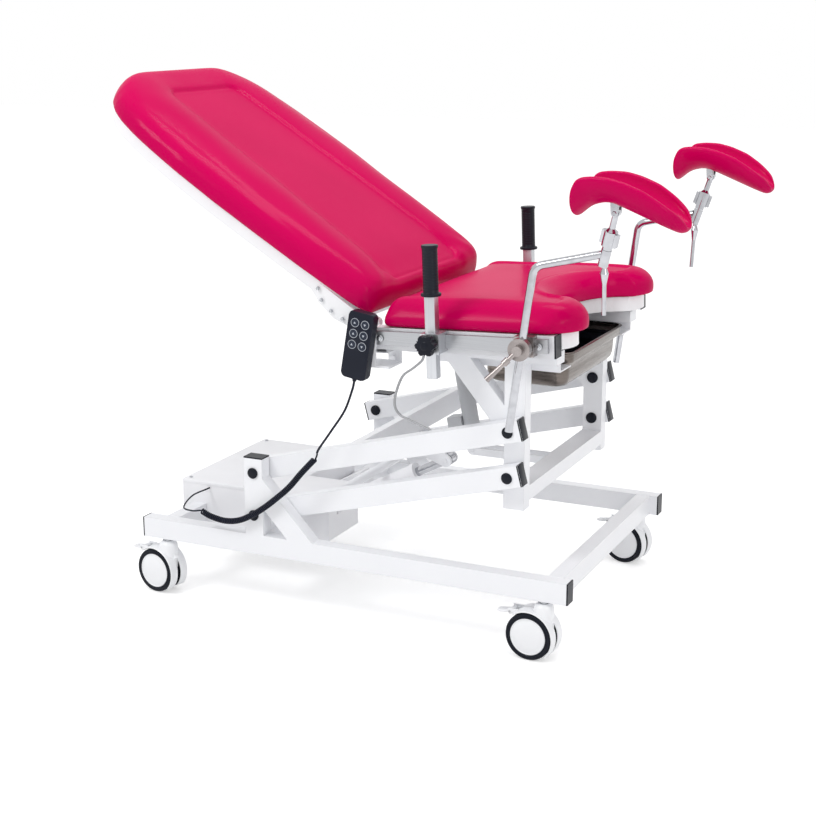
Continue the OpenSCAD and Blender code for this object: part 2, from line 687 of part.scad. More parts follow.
// Backrest, local X towards the seat, local Z out of the cushion
back_shape = [[0, 0.87], [0.03, 0.905], [0.07, 0.925], [0.22, 0.965], [0.38, 0.988], [0.5, 1], [0.64, 0.994],
  [0.74, 0.97], [0.8, 0.945], [0.86, 0.9], [0.9, 0.845], [0.935, 0.76], [0.965, 0.64],
  [0.985, 0.46], [1, 0.25]];
function back_half(t) = back_w/2*lookup(t, back_shape);
module back_plan(inset) {
  k = (back_len - 2*inset)/back_len;
  polygon(concat([for (p = back_shape) [-back_u0 - inset - p[0]*back_len*k, back_w/2*p[1] - inset]],
    [for (i = [len(back_shape) - 1:-1:0]) let(p = back_shape[i])
      [-back_u0 - inset - p[0]*back_len*k, inset - back_w/2*p[1]]]));
}
module back_pan() color(white) {
  back_at() {
    difference() {
      translate([0, 0, pan_n0]) linear_extrude(pan_n1 - pan_n0) back_plan(14);
      translate([0, 0, pan_n0 - 1]) linear_extrude(pan_n1 - pan_n0 - 2) difference() {
        back_plan(17);
        translate([-95, -400]) square([100, 800]);
      }
    }
    for (s = [-1, 1]) side(s) {
      // hinge plate on the pivot pin
      difference() {
        union() {
          translate([0, -hinge_y + 2*hinge_t + 1.5, 0]) rotate([90, 0, 0]) linear_extrude(hinge_t)
            polygon([[2, -11.8], [-20, -30], [-70, -34], [-150, pan_n0 + 2], [-150, 10], [-16, 10]]);
          ycyl(0, 0, 12, -hinge_y + hinge_t + 1.5, -hinge_y + 2*hinge_t + 1.5);
        }
        ycyl(0, 0, pin_r + run_gap, -400, 400);
      }
      // outer plate with three screws
      translate([0, -seat_y + 7, 0]) rotate([90, 0, 0]) linear_extrude(5)
        polygon([[-30, 10], [-30, -26], [-70, -34], [-115, -26], [-150, pan_n0 + 2], [-150, 10]]);
      for (p = [[-52, -20], [-82, -22], [-112, -16]]) ycyl(p[0], p[1], 3.5, -seat_y - 1, -seat_y + 3);
    }
    // bracket of the back actuator
    for (s = [-1, 1]) difference() {
      union() {
        box(-ba_u - 13, ba_y + s*17 - 3, ba_n, -ba_u + 13, ba_y + s*17 + 3, pan_n1 - 3);
        ycyl(-ba_u, ba_n, 13, ba_y + s*17 - 3, ba_y + s*17 + 3);
      }
      ycyl(-ba_u, ba_n, act_pin, ba_y - 30, ba_y + 30);
    }
    ycyl(-ba_u, ba_n, act_pin, ba_y - 22, ba_y + 22);
  }
}
back_rows = 30;
back_cols = 15;
module back_cushion() color(pink) back_at() {
  zb = pan_n1 + 0.3;
  skin([for (i = [0:back_rows]) let(t = 0.5 - 0.5*cos(180*i/back_rows), u = back_u0 + back_len*t,
      d0 = back_len*t + 0.6, d1 = back_len*(1 - t) + 0.6,
      e = swell(d0, 42)*swell(d1, 40), w = back_half(t) - 6*(1 - e), pw = 178 - 41*(u - 27)/690)
    concat(
      [for (j = [0:back_cols]) let(q = cos(180*j/back_cols), y = w*q, d = w - abs(y), g = swell(d, 50),
          ring = u > 50 && u < 730 ? exp(-pow((abs(y) - pw)/9, 2)) : 0,
          ends = abs(y) < pw ? exp(-pow((u - 50)/9, 2)) + exp(-pow((u - 730)/9, 2)) : 0)
        [-u, y, zb + 6 + 14*e + (back_thick - 20)*e*g - 3.5*min(1, ring + ends)*e*g]],
      [for (j = [0:back_cols]) let(q = -cos(180*j/back_cols), y = w*q, d = w - abs(y), g = swell(d, 14))
        [-u, y, zb + 8*(1 - g)*e]])]);
}

// Hand grips
module grip_at_side(k) seat_at() side(k == 0 ? -1 : 1) translate([foot_x - grip_at[k], 0, 0]) children();
grip_y = rail_y1 + 3 + 3 + grip_sq/2;
module grip_clamp(k) color(steel) grip_at_side(k) difference() {
  union() {
    box(-20, -grip_y - grip_sq/2 - 5, rail_cz - 20, 20, -rail_y0 + 3, rail_cz + 20);
  }
  // slot for the rail
  box(-21, -rail_y1 - grip_gap, rail_cz - rail_h/2 - grip_gap,
    21, -rail_y0 + grip_gap, rail_cz + rail_h/2 + grip_gap);
  box(-21, -rail_y0 - 1, rail_cz - rail_h/2 + 4, 21, -rail_y0 + 4, rail_cz + rail_h/2 - 4);
  box(-grip_sq/2 - grip_gap, -grip_y - grip_sq/2 - grip_gap, rail_cz - 21,
    grip_sq/2 + grip_gap, -grip_y + grip_sq/2 + grip_gap, rail_cz + 21);
  ycyl(0, rail_cz, 5 + run_gap, -grip_y - 40, -grip_y);
}
module grip_knob(k) color(black) grip_at_side(k) translate([0, -grip_y - grip_sq/2 - 5, rail_cz]) {
  ycyl(0, 0, 5, -3, 4);
  ycyl(0, 0, 9, -7, -1);
  difference() {
    ycyl(0, 0, 22, -25, -7);
    for (a = [0:60:300]) ycyl(26*cos(a), 26*sin(a), 8, -26, -6);
  }
}
module grip_post(k) color(steel) grip_at_side(k) translate([0, -grip_y, rail_cz]) {
  box(-grip_sq/2, -grip_sq/2, -72, grip_sq/2, grip_sq/2, grip_len - 172 + 6);
  translate([0, 0, grip_len - 172]) {
    cylinder(r = grip_d/2 + 5, h = 6);
    cylinder(r = grip_d/2, h = 100);
    translate([0, 0, 96]) cylinder(r = grip_d/2 + 1.5, h = 5);
  }
}

// Leg supports
module leg_world(s) side(s) translate([leg_x, -leg_y, leg_z]) rotate([0, 0, leg_turn]) children();
module leg_clamp(s) color(steel) {
  seat_at() side(s) translate([leg_x, 0, rail_cz]) difference() {
    union() {
      box(-20, -leg_y + 12, -20, 20, -rail_y0 + 3, 20);
      ycyl(0, 0, 21, -leg_y + 8.5, -leg_y + 13);
    }
    box(-21, -rail_y1 - grip_gap, -rail_h/2 - grip_gap, 21, -rail_y0 + grip_gap, rail_h/2 + grip_gap);
    box(-21, -rail_y0 - 1, -rail_h/2 + 4, 21, -rail_y0 + 4, rail_h/2 - 4);
    ycyl(0, 0, 5, -leg_y, -leg_y + 14);
  }
  leg_world(s) difference() {
    union() {
      ycyl(0, 0, 22, -20, -2);
      ycyl(0, 0, 18, -2, 8.2);
    }
    rotate([0, leg_lean, 0]) translate([0, 0, -60]) cylinder(r = rod_d/2 + run_gap, h = 120);
    ycyl(0, 0, 6 + run_gap, -30, -9.5);
  }
}
module leg_tommy(s) color(steel) leg_world(s) {
  ycyl(0, 0, 6, -24, -10);
  ycyl(0, 0, 10, -34, -20.5);
  aim([0, -28, 0], [-60, -50, -62]) {
    cylinder(r = 4.5, h = 42);
    translate([0, 0, 24]) cylinder(r = 7, h = 12);
    translate([0, 0, 42]) cylinder(r1 = 4.5, r2 = 6, h = 40);
  }
}
// the rod leans, bends over and ends in a barrel
module aim(p, q) {
  d = q - p;
  translate(p) rotate([0, acos(d[2]/norm(d)), atan2(d[1], d[0])]) children();
}
head_p = [foot_x + 56, -323, 826];
head_q = [foot_x + 82, -341, 916];
head_l = norm(head_q - head_p);
lever_q = [foot_x + 54, -310, 717];
stem_r = 4.5;
module leg_rod(s) color(steel) {
  difference() {
    union() {
      leg_world(s) rotate([0, leg_lean, 0]) {
        up = rod_up - 170 - bend_r;
        turn = 90 - leg_lean - leg_rise;
        translate([0, 0, -170]) cylinder(r = rod_d/2, h = 170 + up);
        translate([bend_r, 0, up]) rotate([90, 0, 0]) rotate([0, 0, 180 - turn])
          rotate_extrude(angle = turn) translate([bend_r, 0]) circle(r = rod_d/2);
        translate([bend_r, 0, up]) rotate([0, turn, 0]) translate([-bend_r, 0, 0])
          cylinder(r = rod_d/2, h = rod_over - bend_r);
      }
      side(s) aim(head_p, head_q) translate([0, 0, -14]) cylinder(r = 10, h = 34);
    }
    side(s) aim(head_p, head_q) cylinder(r = stem_r + run_gap, h = 60);
    side(s) aim(head_p, lever_q) translate([0, 0, -4]) cylinder(r = stem_r + run_gap, h = 60);
  }
}
module leg_joint(s) color(steel) {
  difference() {
    leg_neck(s);
    side(s) translate(head_q) ycyl(0, 0, 7.5, -9, 9);
  }
  leg_eye(s);
}
module leg_neck(s) side(s) aim(head_p, head_q) {
  translate([0, 0, 2]) cylinder(r = stem_r, h = 19);
  translate([0, 0, 20.5]) cylinder(r = 9.5, h = 8);
  translate([0, 0, 28]) cylinder(r = 13, h = 30);
  for (a = [20, 200]) rotate([0, 0, a]) translate([9, -5, 30]) cube([9, 10, 26]);
  translate([0, 0, 58]) cylinder(r1 = 11, r2 = 6, h = 6);
  translate([0, 0, 63]) cylinder(r = 6, h = head_l - 67);
}
module leg_eye(s) side(s) translate(head_q) difference() {
  ycyl(0, 0, 8, -7, 7);
  ycyl(0, 0, 3 + run_gap, -8, 8);
}
module leg_lever(s) color(steel) side(s) aim(head_p, lever_q) {
  l = norm(lever_q - head_p);
  translate([0, 0, 0]) cylinder(r = stem_r, h = 22);
  translate([0, 0, 16]) cylinder(r1 = 4, r2 = 8.5, h = 12);
  translate([0, 0, 28]) cylinder(r1 = 8.5, r2 = 4.2, h = 22);
  translate([0, 0, 50]) cylinder(r = 4.2, h = l - 50);
}
// knee shell: trough along local X on top of the neck, open side up
shell_rows = 22;
shell_low = [[-84, -16], [-77, -10], [-64, 0], [-45, 12], [-12, 17], [50, -6], [106, -28],
  [132, -36], [144, -30]];
shell_high = [[-84, 16], [-80, 40], [-72, 57], [-54, 68], [-14, 63], [26, 50], [66, 33],
  [96, 12], [126, -11], [144, -22]];
shell_half = [[-84, 40], [-76, 54], [-50, 64], [0, 68], [60, 66], [100, 58], [126, 44], [144, 20]];
module leg_shell(s) color(pink) {
  k = shell_len/246;
  kw = shell_w/140;
  side(s) translate(head_q) {
    ycyl(0, 0, 3, -12, 12);
    for (t = [-1, 1]) {
      ycyl(0, 0, 7, t*10.2 - 1.8, t*10.2 + 1.8);
      box(-7, t*10.2 - 1.8, 0, 7, t*10.2 + 1.8, 34);
    }
    translate([0, 0, 6]) skin([for (i = [0:shell_rows]) let(t = i/shell_rows, x = 30 - 114*cos(180*t),
        lo = lookup(x, shell_low), hi = lookup(x, shell_high), hw = lookup(x, shell_half)*kw,
        th = min(15, (hi - lo)*0.45 + 2))
      concat(
        [for (a = [90:-22.5:-90]) [x*k, hw*sin(a), lo + (hi - lo)*(1 - cos(a))]],
        [for (a = [-90:22.5:90]) [x*k, (hw - th)*sin(a), lo + th + (hi - lo - th*0.9)*(1 - cos(a))]])]);
  }
}

// Hand control
module hand_at() side(-1) translate([hand_x, -hand_y, hand_z]) rotate([0, hand_lean, 0]) children();
key_pos = [[-11.5, 47], [11.5, 47], [-11.5, 24], [11.5, 24], [-11.5, 1], [11.5, 1]];
module handset() color(black) hand_at() {
  difference() {
    translate([0, hand_t/2, 0]) rotate([90, 0, 0]) linear_extrude(hand_t) hand_plan();
    for (p = key_pos) ycyl(p[0], p[1], key_d/2 + 0.4, -hand_t/2 - 1, -hand_t/2 + 5);
  }
  // strain relief
  translate([0, 0, -hand_l/2 - 8]) cylinder(r1 = cord_d/2 + 2, r2 = 9, h = 8.5);
}
module hand_plan() {
  r = 7;
  translate([-hand_w/2, -hand_l/2 + r]) square([hand_w, hand_l - 2*r]);
  translate([-hand_w/2 + r, -hand_l/2]) square([hand_w - 2*r, hand_l]);
  for (x = [-hand_w/2 + r, hand_w/2 - r]) for (z = [-hand_l/2 + r, hand_l/2 - r])
    translate([x, z]) circle(r = r);
}
module hand_key(i) color(grey) hand_at()
  ycyl(key_pos[i][0], key_pos[i][1], key_d/2, -hand_t/2 - 1.5, -hand_t/2 + 3);

// Cords: round sweep through points, rings kept square to the path
function unit(v) = v/norm(v);
function path_dir(p, i) = unit(p[min(i + 1, len(p) - 1)] - p[max(i - 1, 0)]);
module sweep(p, r, m) {
  n = len(p);
  skin([for (i = [0:n - 1]) let(d = path_dir(p, i), a = unit(cross(d, [0, 1, 0.02])), b = cross(d, a))
    [for (j = [0:m - 1]) p[i] + r*(cos(360*j/m)*a - sin(360*j/m)*b)]]);
}
// smooth curve through a list of points
function spline(p, k) = concat([for (i = [0:len(p) - 2]) for (s = [0:k - 1]) let(t = s/k,
  a = p[max(i - 1, 0)], b = p[i], c = p[i + 1], d = p[min(i + 2, len(p) - 1)])
  0.5*((2*b) + (c - a)*t + (2*a - 5*b + 4*c - d)*t*t + (3*b - a - 3*c + d)*t*t*t)], [p[len(p) - 1]]);
coil_y = -345;
coil_path = spline([[-838, 0, 214], [-815, 0, 205], [-780, 0, 200], [-747, 0, 205], [-715, 0, 220],
  [-682, 0, 242], [-650, 0, 268], [-618, 0, 297], [-587, 0, 333], [-556, 0, 366]], 40);
coil_turns = 78;
coil_wire = 1.6;
coil_n = len(coil_path);
coil_steps = coil_turns*8;
// length along the path up to each of its points
coil_sum = [for (i = 0, l = 0; i < coil_n;
  l = l + (i < coil_n - 1 ? norm(coil_path[i + 1] - coil_path[i]) : 0), i = i + 1) [l, i]];
coil_all = coil_sum[coil_n - 1][0];
coil_run = [for (i = [0:coil_steps]) let(f = min(lookup(coil_all*i/coil_steps, coil_sum), coil_n - 1.001),
    k = floor(f), t = f - k,
    c = coil_path[k]*(1 - t) + coil_path[k + 1]*t,
    d = unit(coil_path[min(k + 1, coil_n - 1)] - coil_path[k]),
    a = [0, 1, 0], b = cross(d, a), w = 360*i/8)
  c + (coil_d/2 - coil_wire - 0.8)*(cos(w)*a + sin(w)*b)];
coil_lead = spline([[-918, 157, 212], [-918, 146, 212], [-921, 90, 212], [-905, 30, 205], [-870, 8, 208],
  [-846, 4, 213]], 4);
coil_tail = [[-553.2, 3, 369.8], [-551, 1, 373], [-549.4, 0, 376.6], [-549, 0, 378.8], [-549, 0, 380.7]];
// least gap of the coil to itself, measured on its own points
coil_gap = min([for (i = [0:coil_steps - 12]) for (k = [5:12]) norm(coil_run[i + k] - coil_run[i])])
  - 2*coil_wire;
echo(coil_gap = coil_gap, coil_length = coil_all);
module cord_coil() color(black) translate([foot_x, coil_y, 0])
  sweep(concat(coil_lead, coil_run, coil_tail), coil_wire, 6);
module cord_top() color(black) {
  c = [foot_x - 549, coil_y, 381];
  e = [hand_x - (hand_l/2 + 8)*sin(hand_lean), -hand_y, hand_z - (hand_l/2 + 8)*cos(hand_lean)];
  sweep(concat([c, c + [0, 0, 1.2]], spline([c + [2.2, 0.2, 6], [foot_x - 540, -344, 398],
    [foot_x - 517, -340, 432], [foot_x - 488, -334, 478], e - [3, 0, 14]], 6),
    [e - [1, 0, 5], e - [0.03, 0, 0.16]]), cord_d/2, 8);
}
module cable_loop() color(grey) {
  sweep(spline([[foot_x - 352, -240, 596.5], [foot_x - 354, -244, 578], [foot_x - 372, -250, 560],
    [foot_x - 396, -252, 540], [foot_x - 411, -254, 500], [foot_x - 411, -256, 474],
    [foot_x - 398, -257, 458],
    [foot_x - 380, -258, 452], [foot_x - 345, -258.5, 440], [foot_x - 318, -259, 430]], 6), 4, 8);
}

base_frame();
base_fittings();
control_box();
caster_fork(0);  // caster_fork_nf
caster_fork(1);  // caster_fork_nh
caster_fork(2);  // caster_fork_ff
caster_fork(3);  // caster_fork_fh
caster_wheels(0);  // caster_wheels_nf
caster_wheels(1);  // caster_wheels_nh
caster_wheels(2);  // caster_wheels_ff
caster_wheels(3);  // caster_wheels_fh
caster_pedal(0);  // caster_pedal_nf
caster_pedal(1);  // caster_pedal_nh
caster_pedal(2);  // caster_pedal_ff
caster_pedal(3);  // caster_pedal_fh
lower_arms();
upper_arms();
table_frame();
lift_body();
lift_rod();
tilt_body();
tilt_rod();
back_body();
back_rod();
seat_frame();
seat_rails();
seat_caps();
seat_board();
seat_cushion();
back_pan();
back_cushion();
basin();
grip_clamp(0);  // grip_clamp_n
grip_knob(0);  // grip_knob_n
grip_post(0);  // grip_post_n
grip_clamp(1);  // grip_clamp_f
grip_knob(1);  // grip_knob_f
grip_post(1);  // grip_post_f
leg_clamp(-1);  // leg_clamp_n
leg_tommy(-1);  // leg_tommy_n
leg_rod(-1);  // leg_rod_n
leg_joint(-1);  // leg_joint_n
leg_lever(-1);  // leg_lever_n
leg_shell(-1);  // leg_shell_n
leg_clamp(1);  // leg_clamp_f
leg_tommy(1);  // leg_tommy_f
leg_rod(1);  // leg_rod_f
leg_joint(1);  // leg_joint_f
leg_lever(1);  // leg_lever_f
leg_shell(1);  // leg_shell_f
handset();
hand_key(0);  // key_1
hand_key(1);  // key_2
hand_key(2);  // key_3
hand_key(3);  // key_4
hand_key(4);  // key_5
hand_key(5);  // key_6
cord_coil();
cord_top();
cable_loop();
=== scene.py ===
# Delivery table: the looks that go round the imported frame.
# Metres in the scene, millimetres in the forms, +Z up, head end towards -X, near side towards -Y.
import json
import math

import bmesh
import bpy
import numpy as np
from mathutils import Matrix, Vector

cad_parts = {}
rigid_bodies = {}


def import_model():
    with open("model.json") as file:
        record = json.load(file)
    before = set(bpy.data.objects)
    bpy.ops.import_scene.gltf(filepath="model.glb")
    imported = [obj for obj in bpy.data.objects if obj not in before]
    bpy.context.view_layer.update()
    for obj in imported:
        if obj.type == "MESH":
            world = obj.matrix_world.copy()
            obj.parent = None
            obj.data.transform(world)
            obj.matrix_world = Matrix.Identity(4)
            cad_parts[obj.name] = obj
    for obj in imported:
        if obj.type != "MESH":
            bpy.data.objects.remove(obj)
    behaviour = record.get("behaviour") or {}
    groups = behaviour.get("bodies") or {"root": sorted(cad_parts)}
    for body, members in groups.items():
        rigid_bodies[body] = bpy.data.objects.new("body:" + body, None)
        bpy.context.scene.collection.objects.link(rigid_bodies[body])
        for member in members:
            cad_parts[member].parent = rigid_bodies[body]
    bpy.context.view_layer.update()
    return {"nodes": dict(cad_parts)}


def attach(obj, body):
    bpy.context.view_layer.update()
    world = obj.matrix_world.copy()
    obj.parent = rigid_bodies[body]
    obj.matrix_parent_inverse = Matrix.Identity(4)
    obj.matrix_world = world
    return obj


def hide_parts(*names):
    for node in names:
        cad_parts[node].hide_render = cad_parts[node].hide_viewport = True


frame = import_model()
nodes = frame["nodes"]
scene = bpy.context.scene
MM = 0.001


# ---- camera ----
def set_camera(place, turn, rise, roll, focal_px, centre_y, image=816):
    """Camera at the photograph's place; angles in degrees, roll in radians."""
    a, e = math.radians(turn), math.radians(rise)
    look = Vector((-math.sin(a) * math.cos(e), math.cos(a) * math.cos(e), -math.sin(e)))
    right = look.cross(Vector((0, 0, 1))).normalized()
    up = right.cross(look)
    c, s = math.cos(roll), math.sin(roll)
    x, y = right * c + up * s, up * c - right * s
    data = bpy.data.cameras.new("camera")
    data.sensor_width = 36
    data.lens = focal_px * 36 / image
    data.shift_y = (centre_y - image / 2) / image
    data.clip_end = 60
    cam = bpy.data.objects.new("camera", data)
    cam.matrix_world = Matrix((x, y, -look)).transposed().to_4x4()
    cam.location = place
    scene.collection.objects.link(cam)
    scene.camera = cam


set_camera((1.41201, -3.08411, 1.28215), 25.2413, 13.9521, -0.00126, 1555.70, 394.006)

# ---- sizes shared with the part's source, in millimetres ----
FOOT = 460
HEAD = FOOT - 1002
RAIL_Y = 330
TUBE_H, TUBE_B = 45, 32
BASE_Z, RAIL_TOP = 128, 173
POST_X = HEAD + 287
PIVOT_Z, ARM_GAP = 312, 95
ARM_Y, ARM_LEN, ARM_OVER, ARM_TILT, POST_IN = 296, 590.5, 25, 14.5, 230
SEAT_Z, SEAT_W, SEAT_TILT = 663, 596, 2.2
CUSH_HX, CUSH_FX = FOOT - 424, FOOT - 4
TILT_X, TILT_Z = FOOT - 80, 640
RAIL_CZ, ACC_Y = 645, 315.5
ACC_HX, ACC_FX = FOOT - 433, FOOT - 55
BACK_X, BACK_Z, BACK_TILT = FOOT - 455, 650, 32.6
BACK_LEN, BACK_W, BACK_U0, BACK_THICK, PAN = 815, 656, 14, 60, 13
HAND = Vector((FOOT - 455, -330.5, 617))
HAND_LEAN = 9.5
SWIVEL = [-4, -9, -9, 18]
TAGS = ["nf", "nh", "ff", "fh"]


def move(x, y, z):
    return Matrix.Translation((x, y, z))


def turn(degrees, axis):
    return Matrix.Rotation(math.radians(degrees), 4, axis)


FLIP = Matrix.Scale(-1, 4, (0, 1, 0))
SEAT = move(TILT_X, 0, TILT_Z) @ turn(-SEAT_TILT, "Y") @ move(-TILT_X, 0, -TILT_Z)
BACK = move(BACK_X, 0, BACK_Z) @ turn(BACK_TILT, "Y")
HANDSET = move(*HAND) @ turn(HAND_LEAN, "Y")


def arm_frame(z):
    return move(POST_X, 0, z) @ turn(-ARM_TILT, "Y")


def caster_frame(i):
    x = FOOT - 52 if i in (0, 2) else HEAD + 52
    return move(x, (-1 if i < 2 else 1) * (RAIL_Y - TUBE_B / 2), 0) @ turn(SWIVEL[i], "Z")


# ---- cord routes ----
def unit(v):
    return v / np.linalg.norm(v)


def spline(points, steps):
    """Smooth curve through the points, the same rule as in the part's source."""
    p = [np.array(q, float) for q in points]
    line = []
    for i in range(len(p) - 1):
        a, b, c, d = p[max(i - 1, 0)], p[i], p[i + 1], p[min(i + 2, len(p) - 1)]
        for s in range(steps):
            t = s / steps
            line.append(0.5 * (2 * b + (c - a) * t + (2 * a - 5 * b + 4 * c - d) * t * t
                               + (3 * b - a - 3 * c + d) * t ** 3))
    return np.array(line + [p[-1]])


def coil_route():
    path = spline([[-838, 0, 214], [-815, 0, 205], [-780, 0, 200], [-747, 0, 205], [-715, 0, 220],
                   [-682, 0, 242], [-650, 0, 268], [-618, 0, 297], [-587, 0, 333], [-556, 0, 366]], 40)
    along = np.concatenate([[0], np.cumsum(np.linalg.norm(np.diff(path, axis=0), axis=1))])
    turns, per_turn, radius = 78, 16, 5.1
    run = []
    for i in range(turns * per_turn + 1):
        f = min(np.interp(along[-1] * i / (turns * per_turn), along, np.arange(len(path))), len(path) - 1.001)
        k = int(f)
        centre = path[k] + (path[k + 1] - path[k]) * (f - k)
        d = unit(path[k + 1] - path[k])
        a = np.array([0, 1.0, 0])
        w = 2 * math.pi * i / per_turn
        run.append(centre + radius * (math.cos(w) * a + math.sin(w) * np.cross(d, a)))
    lead = spline([[-918, 157, 212], [-918, 146, 212], [-921, 90, 212], [-905, 30, 205], [-870, 8, 208],
                   [-846, 4, 213]], 8)
    tail = [[-553.2, 3, 369.8], [-551, 1, 373], [-549.4, 0, 376.6], [-549, 0, 378.8], [-549, 0, 380.7]]
    return np.concatenate([lead, run, tail]) + np.array([FOOT, -345, 0])


def top_route():
    lean = math.radians(HAND_LEAN)
    c = np.array([FOOT - 549, -345, 381.0])
    e = np.array([HAND.x - 78 * math.sin(lean), HAND.y, HAND.z - 78 * math.cos(lean)])
    run = spline([c + [2.2, 0.2, 6], [FOOT - 540, -344, 398], [FOOT - 517, -340, 432],
                  [FOOT - 488, -334, 478], e - [3, 0, 14]], 6)
    return np.concatenate([[c, c + [0, 0, 1.2]], run, [e - [1, 0, 5], e - [0.03, 0, 0.16]]])


def loop_route(aside):
    p = [[-352, -240, 596.5], [-354, -244, 578], [-372, -250, 560], [-396, -252, 540], [-411, -254, 500],
         [-411, -256, 474], [-398, -257, 458], [-380, -258, 452], [-345, -258.5, 440], [-318, -259, 430]]
    return spline([[FOOT + x, y - aside, z + aside * 0.25] for x, y, z in p], 6)


# ---- finishes ----
def tone(r, g, b):
    """Linear colour of a screen colour."""
    return tuple(c / 255 / 12.92 if c <= 10 else ((c / 255 + 0.055) / 1.055) ** 2.4 for c in (r, g, b))


class Wire:
    """A socket's value in a sum; each operator adds its Math node."""

    def __init__(self, tree, socket):
        self.tree, self.socket = tree, socket

    def sum(self, operation, first, second):
        node = self.tree.nodes.new("ShaderNodeMath")
        node.operation = operation
        for socket, value in zip(node.inputs, (first, second)):
            feed(self.tree, socket, value)
        return Wire(self.tree, node.outputs[0])

    def __add__(self, other):
        return self.sum("ADD", self, other)

    def __sub__(self, other):
        return self.sum("SUBTRACT", self, other)

    def __rsub__(self, other):
        return self.sum("SUBTRACT", other, self)

    def __mul__(self, other):
        return self.sum("MULTIPLY", self, other)

    __radd__ = __add__
    __rmul__ = __mul__


def feed(tree, socket, value):
    """A constant or a link into a socket."""
    if isinstance(value, Wire):
        tree.links.new(value.socket, socket)
        return
    if hasattr(socket.default_value, "__len__") and len(socket.default_value) == 4 and len(value) == 3:
        value = (*value, 1)
    socket.default_value = value


class Finish:
    """One material: constants sit on the shader's own sockets, patterns are wired in."""

    def __init__(self, name, colour, rough, **sockets):
        self.material = bpy.data.materials.new(name)
        self.material.use_nodes = True
        self.tree = self.material.node_tree
        self.shader = self.tree.nodes["Principled BSDF"]
        self.colour, self.rough = colour, rough
        self.set(Base_Color=colour, Roughness=rough, **sockets)
        self.place = self.node("ShaderNodeTexCoord", out="Object")

    def set(self, **sockets):
        for name, value in sockets.items():
            feed(self.tree, self.shader.inputs[name.replace("_", " ")], value)

    def node(self, kind, settings=(), inputs=(), out=0):
        """Any node: its settings are set first, then the values or links of its sockets."""
        node = self.tree.nodes.new(kind)
        for name, value in dict(settings).items():
            if name == "stops":
                for stop, (at, colour) in zip(node.color_ramp.elements, value):
                    stop.position, stop.color = at, (*colour, 1)
            else:
                setattr(node, name, value)
        for name, value in dict(inputs).items():
            feed(self.tree, node.inputs[name], value)
        return Wire(self.tree, node.outputs[out])

    def stretched(self, x, y, z):
        return self.node("ShaderNodeMapping", {}, {"Vector": self.place, "Scale": (x, y, z)})

    def noise(self, scale, detail=3, where=None):
        return self.node("ShaderNodeTexNoise", {},
                         {"Vector": where or self.place, "Scale": scale, "Detail": detail})

    def mix(self, factor, first, second):
        return self.node("ShaderNodeMix", {"data_type": "RGBA"}, {0: factor, 6: first, 7: second}, out=2)

    def vary(self, scale, darker, spread=0.1, detail=3, where=None):
        """Slow change of colour towards darker, and of roughness by spread."""
        n = self.noise(scale, detail, where)
        self.set(Base_Color=self.mix(n, self.colour, darker), Roughness=n * spread + (self.rough - spread / 2))
        return n

    def relief(self, height, depth, strength=1.0, under=None):
        values = {"Strength": strength, "Distance": depth, "Height": height}
        if under:
            values["Normal"] = under
        self.set(Normal=self.node("ShaderNodeBump", {}, values))
        return self


def powder_coat(name, colour, darker, rough=0.34):
    """Paint over tubes whose edges look rounded by a small radius."""
    f = Finish(name, colour, rough, Coat_Weight=0.12, Coat_Roughness=0.2)
    f.vary(9, darker, 0.08)
    soft = f.node("ShaderNodeBevel", {"samples": 4}, {"Radius": 0.0016})
    return f.relief(f.noise(620, 2), 0.00005, 0.5, soft)


def moulded(name, colour, darker, rough=0.38, grain=1500, depth=0.00004, gloss=0.5):
    """Moulded plastic or rubber; a dark one has a low gloss, so that the white studio doesn't veil it."""
    f = Finish(name, colour, rough, Specular_IOR_Level=gloss, Coat_Weight=0.08, Coat_Roughness=0.15)
    f.vary(22, darker, 0.1)
    return f.relief(f.noise(grain, 2), depth, 0.6)


def brushed(name, colour, darker, rough, along, depth=0.00003):
    f = Finish(name, colour, rough, Metallic=1.0)
    streak = f.stretched(*along)
    f.vary(1.0, darker, 0.16, 4, streak)
    return f.relief(f.noise(1.0, 3, streak), depth, 0.5)


def polished(name, colour, darker, rough):
    f = Finish(name, colour, rough, Metallic=1.0)
    f.vary(60, darker, 0.05)
    return f.relief(f.noise(90, 2), 0.00002, 0.25)


def cast(name, colour, darker, rough):
    f = Finish(name, colour, rough, Metallic=0.9)
    f.vary(45, darker, 0.14)
    return f.relief(f.noise(420, 4), 0.00012, 0.5)


def vinyl(name):
    f = Finish(name, tone(206, 0, 87), 0.34, Specular_IOR_Level=0.01, Coat_Weight=0.1, Coat_Roughness=0.16)
    f.vary(5, tone(193, 0, 80), 0.08)
    pores = f.node("ShaderNodeTexVoronoi", {"feature": "DISTANCE_TO_EDGE"}, {"Vector": f.place, "Scale": 780})
    wrinkle = f.noise(160, 4)
    return f.relief(pores * 0.7 + wrinkle * 0.6, 0.00016, 0.45)


WHITE = powder_coat("white_powder_coat", tone(247, 248, 251), tone(240, 241, 245))
SHELL_WHITE = moulded("white_moulded_shell", tone(248, 249, 251), tone(242, 243, 246), 0.3)
BOX_WHITE = moulded("white_box", tone(247, 247, 250), tone(241, 241, 244), 0.42)
CAP = moulded("black_cap", tone(14, 17, 26), tone(24, 27, 38), 0.34, gloss=0.12)
TYRE = moulded("tyre_rubber", tone(14, 18, 27), tone(25, 29, 40), 0.4, 900, 0.00008, 0.12)
GRIP = moulded("grip_rubber", tone(20, 22, 31), tone(32, 34, 44), 0.42, 700, 0.0001, 0.14)
CASE = moulded("hand_control_case", tone(18, 22, 34), tone(30, 34, 48), 0.33, 1300, 0.00006, 0.12)
KEY = moulded("key_cap", tone(38, 44, 58), tone(52, 58, 72), 0.4, gloss=0.15)
MARK = moulded("pale_print", tone(178, 184, 196), tone(196, 200, 208), 0.5)
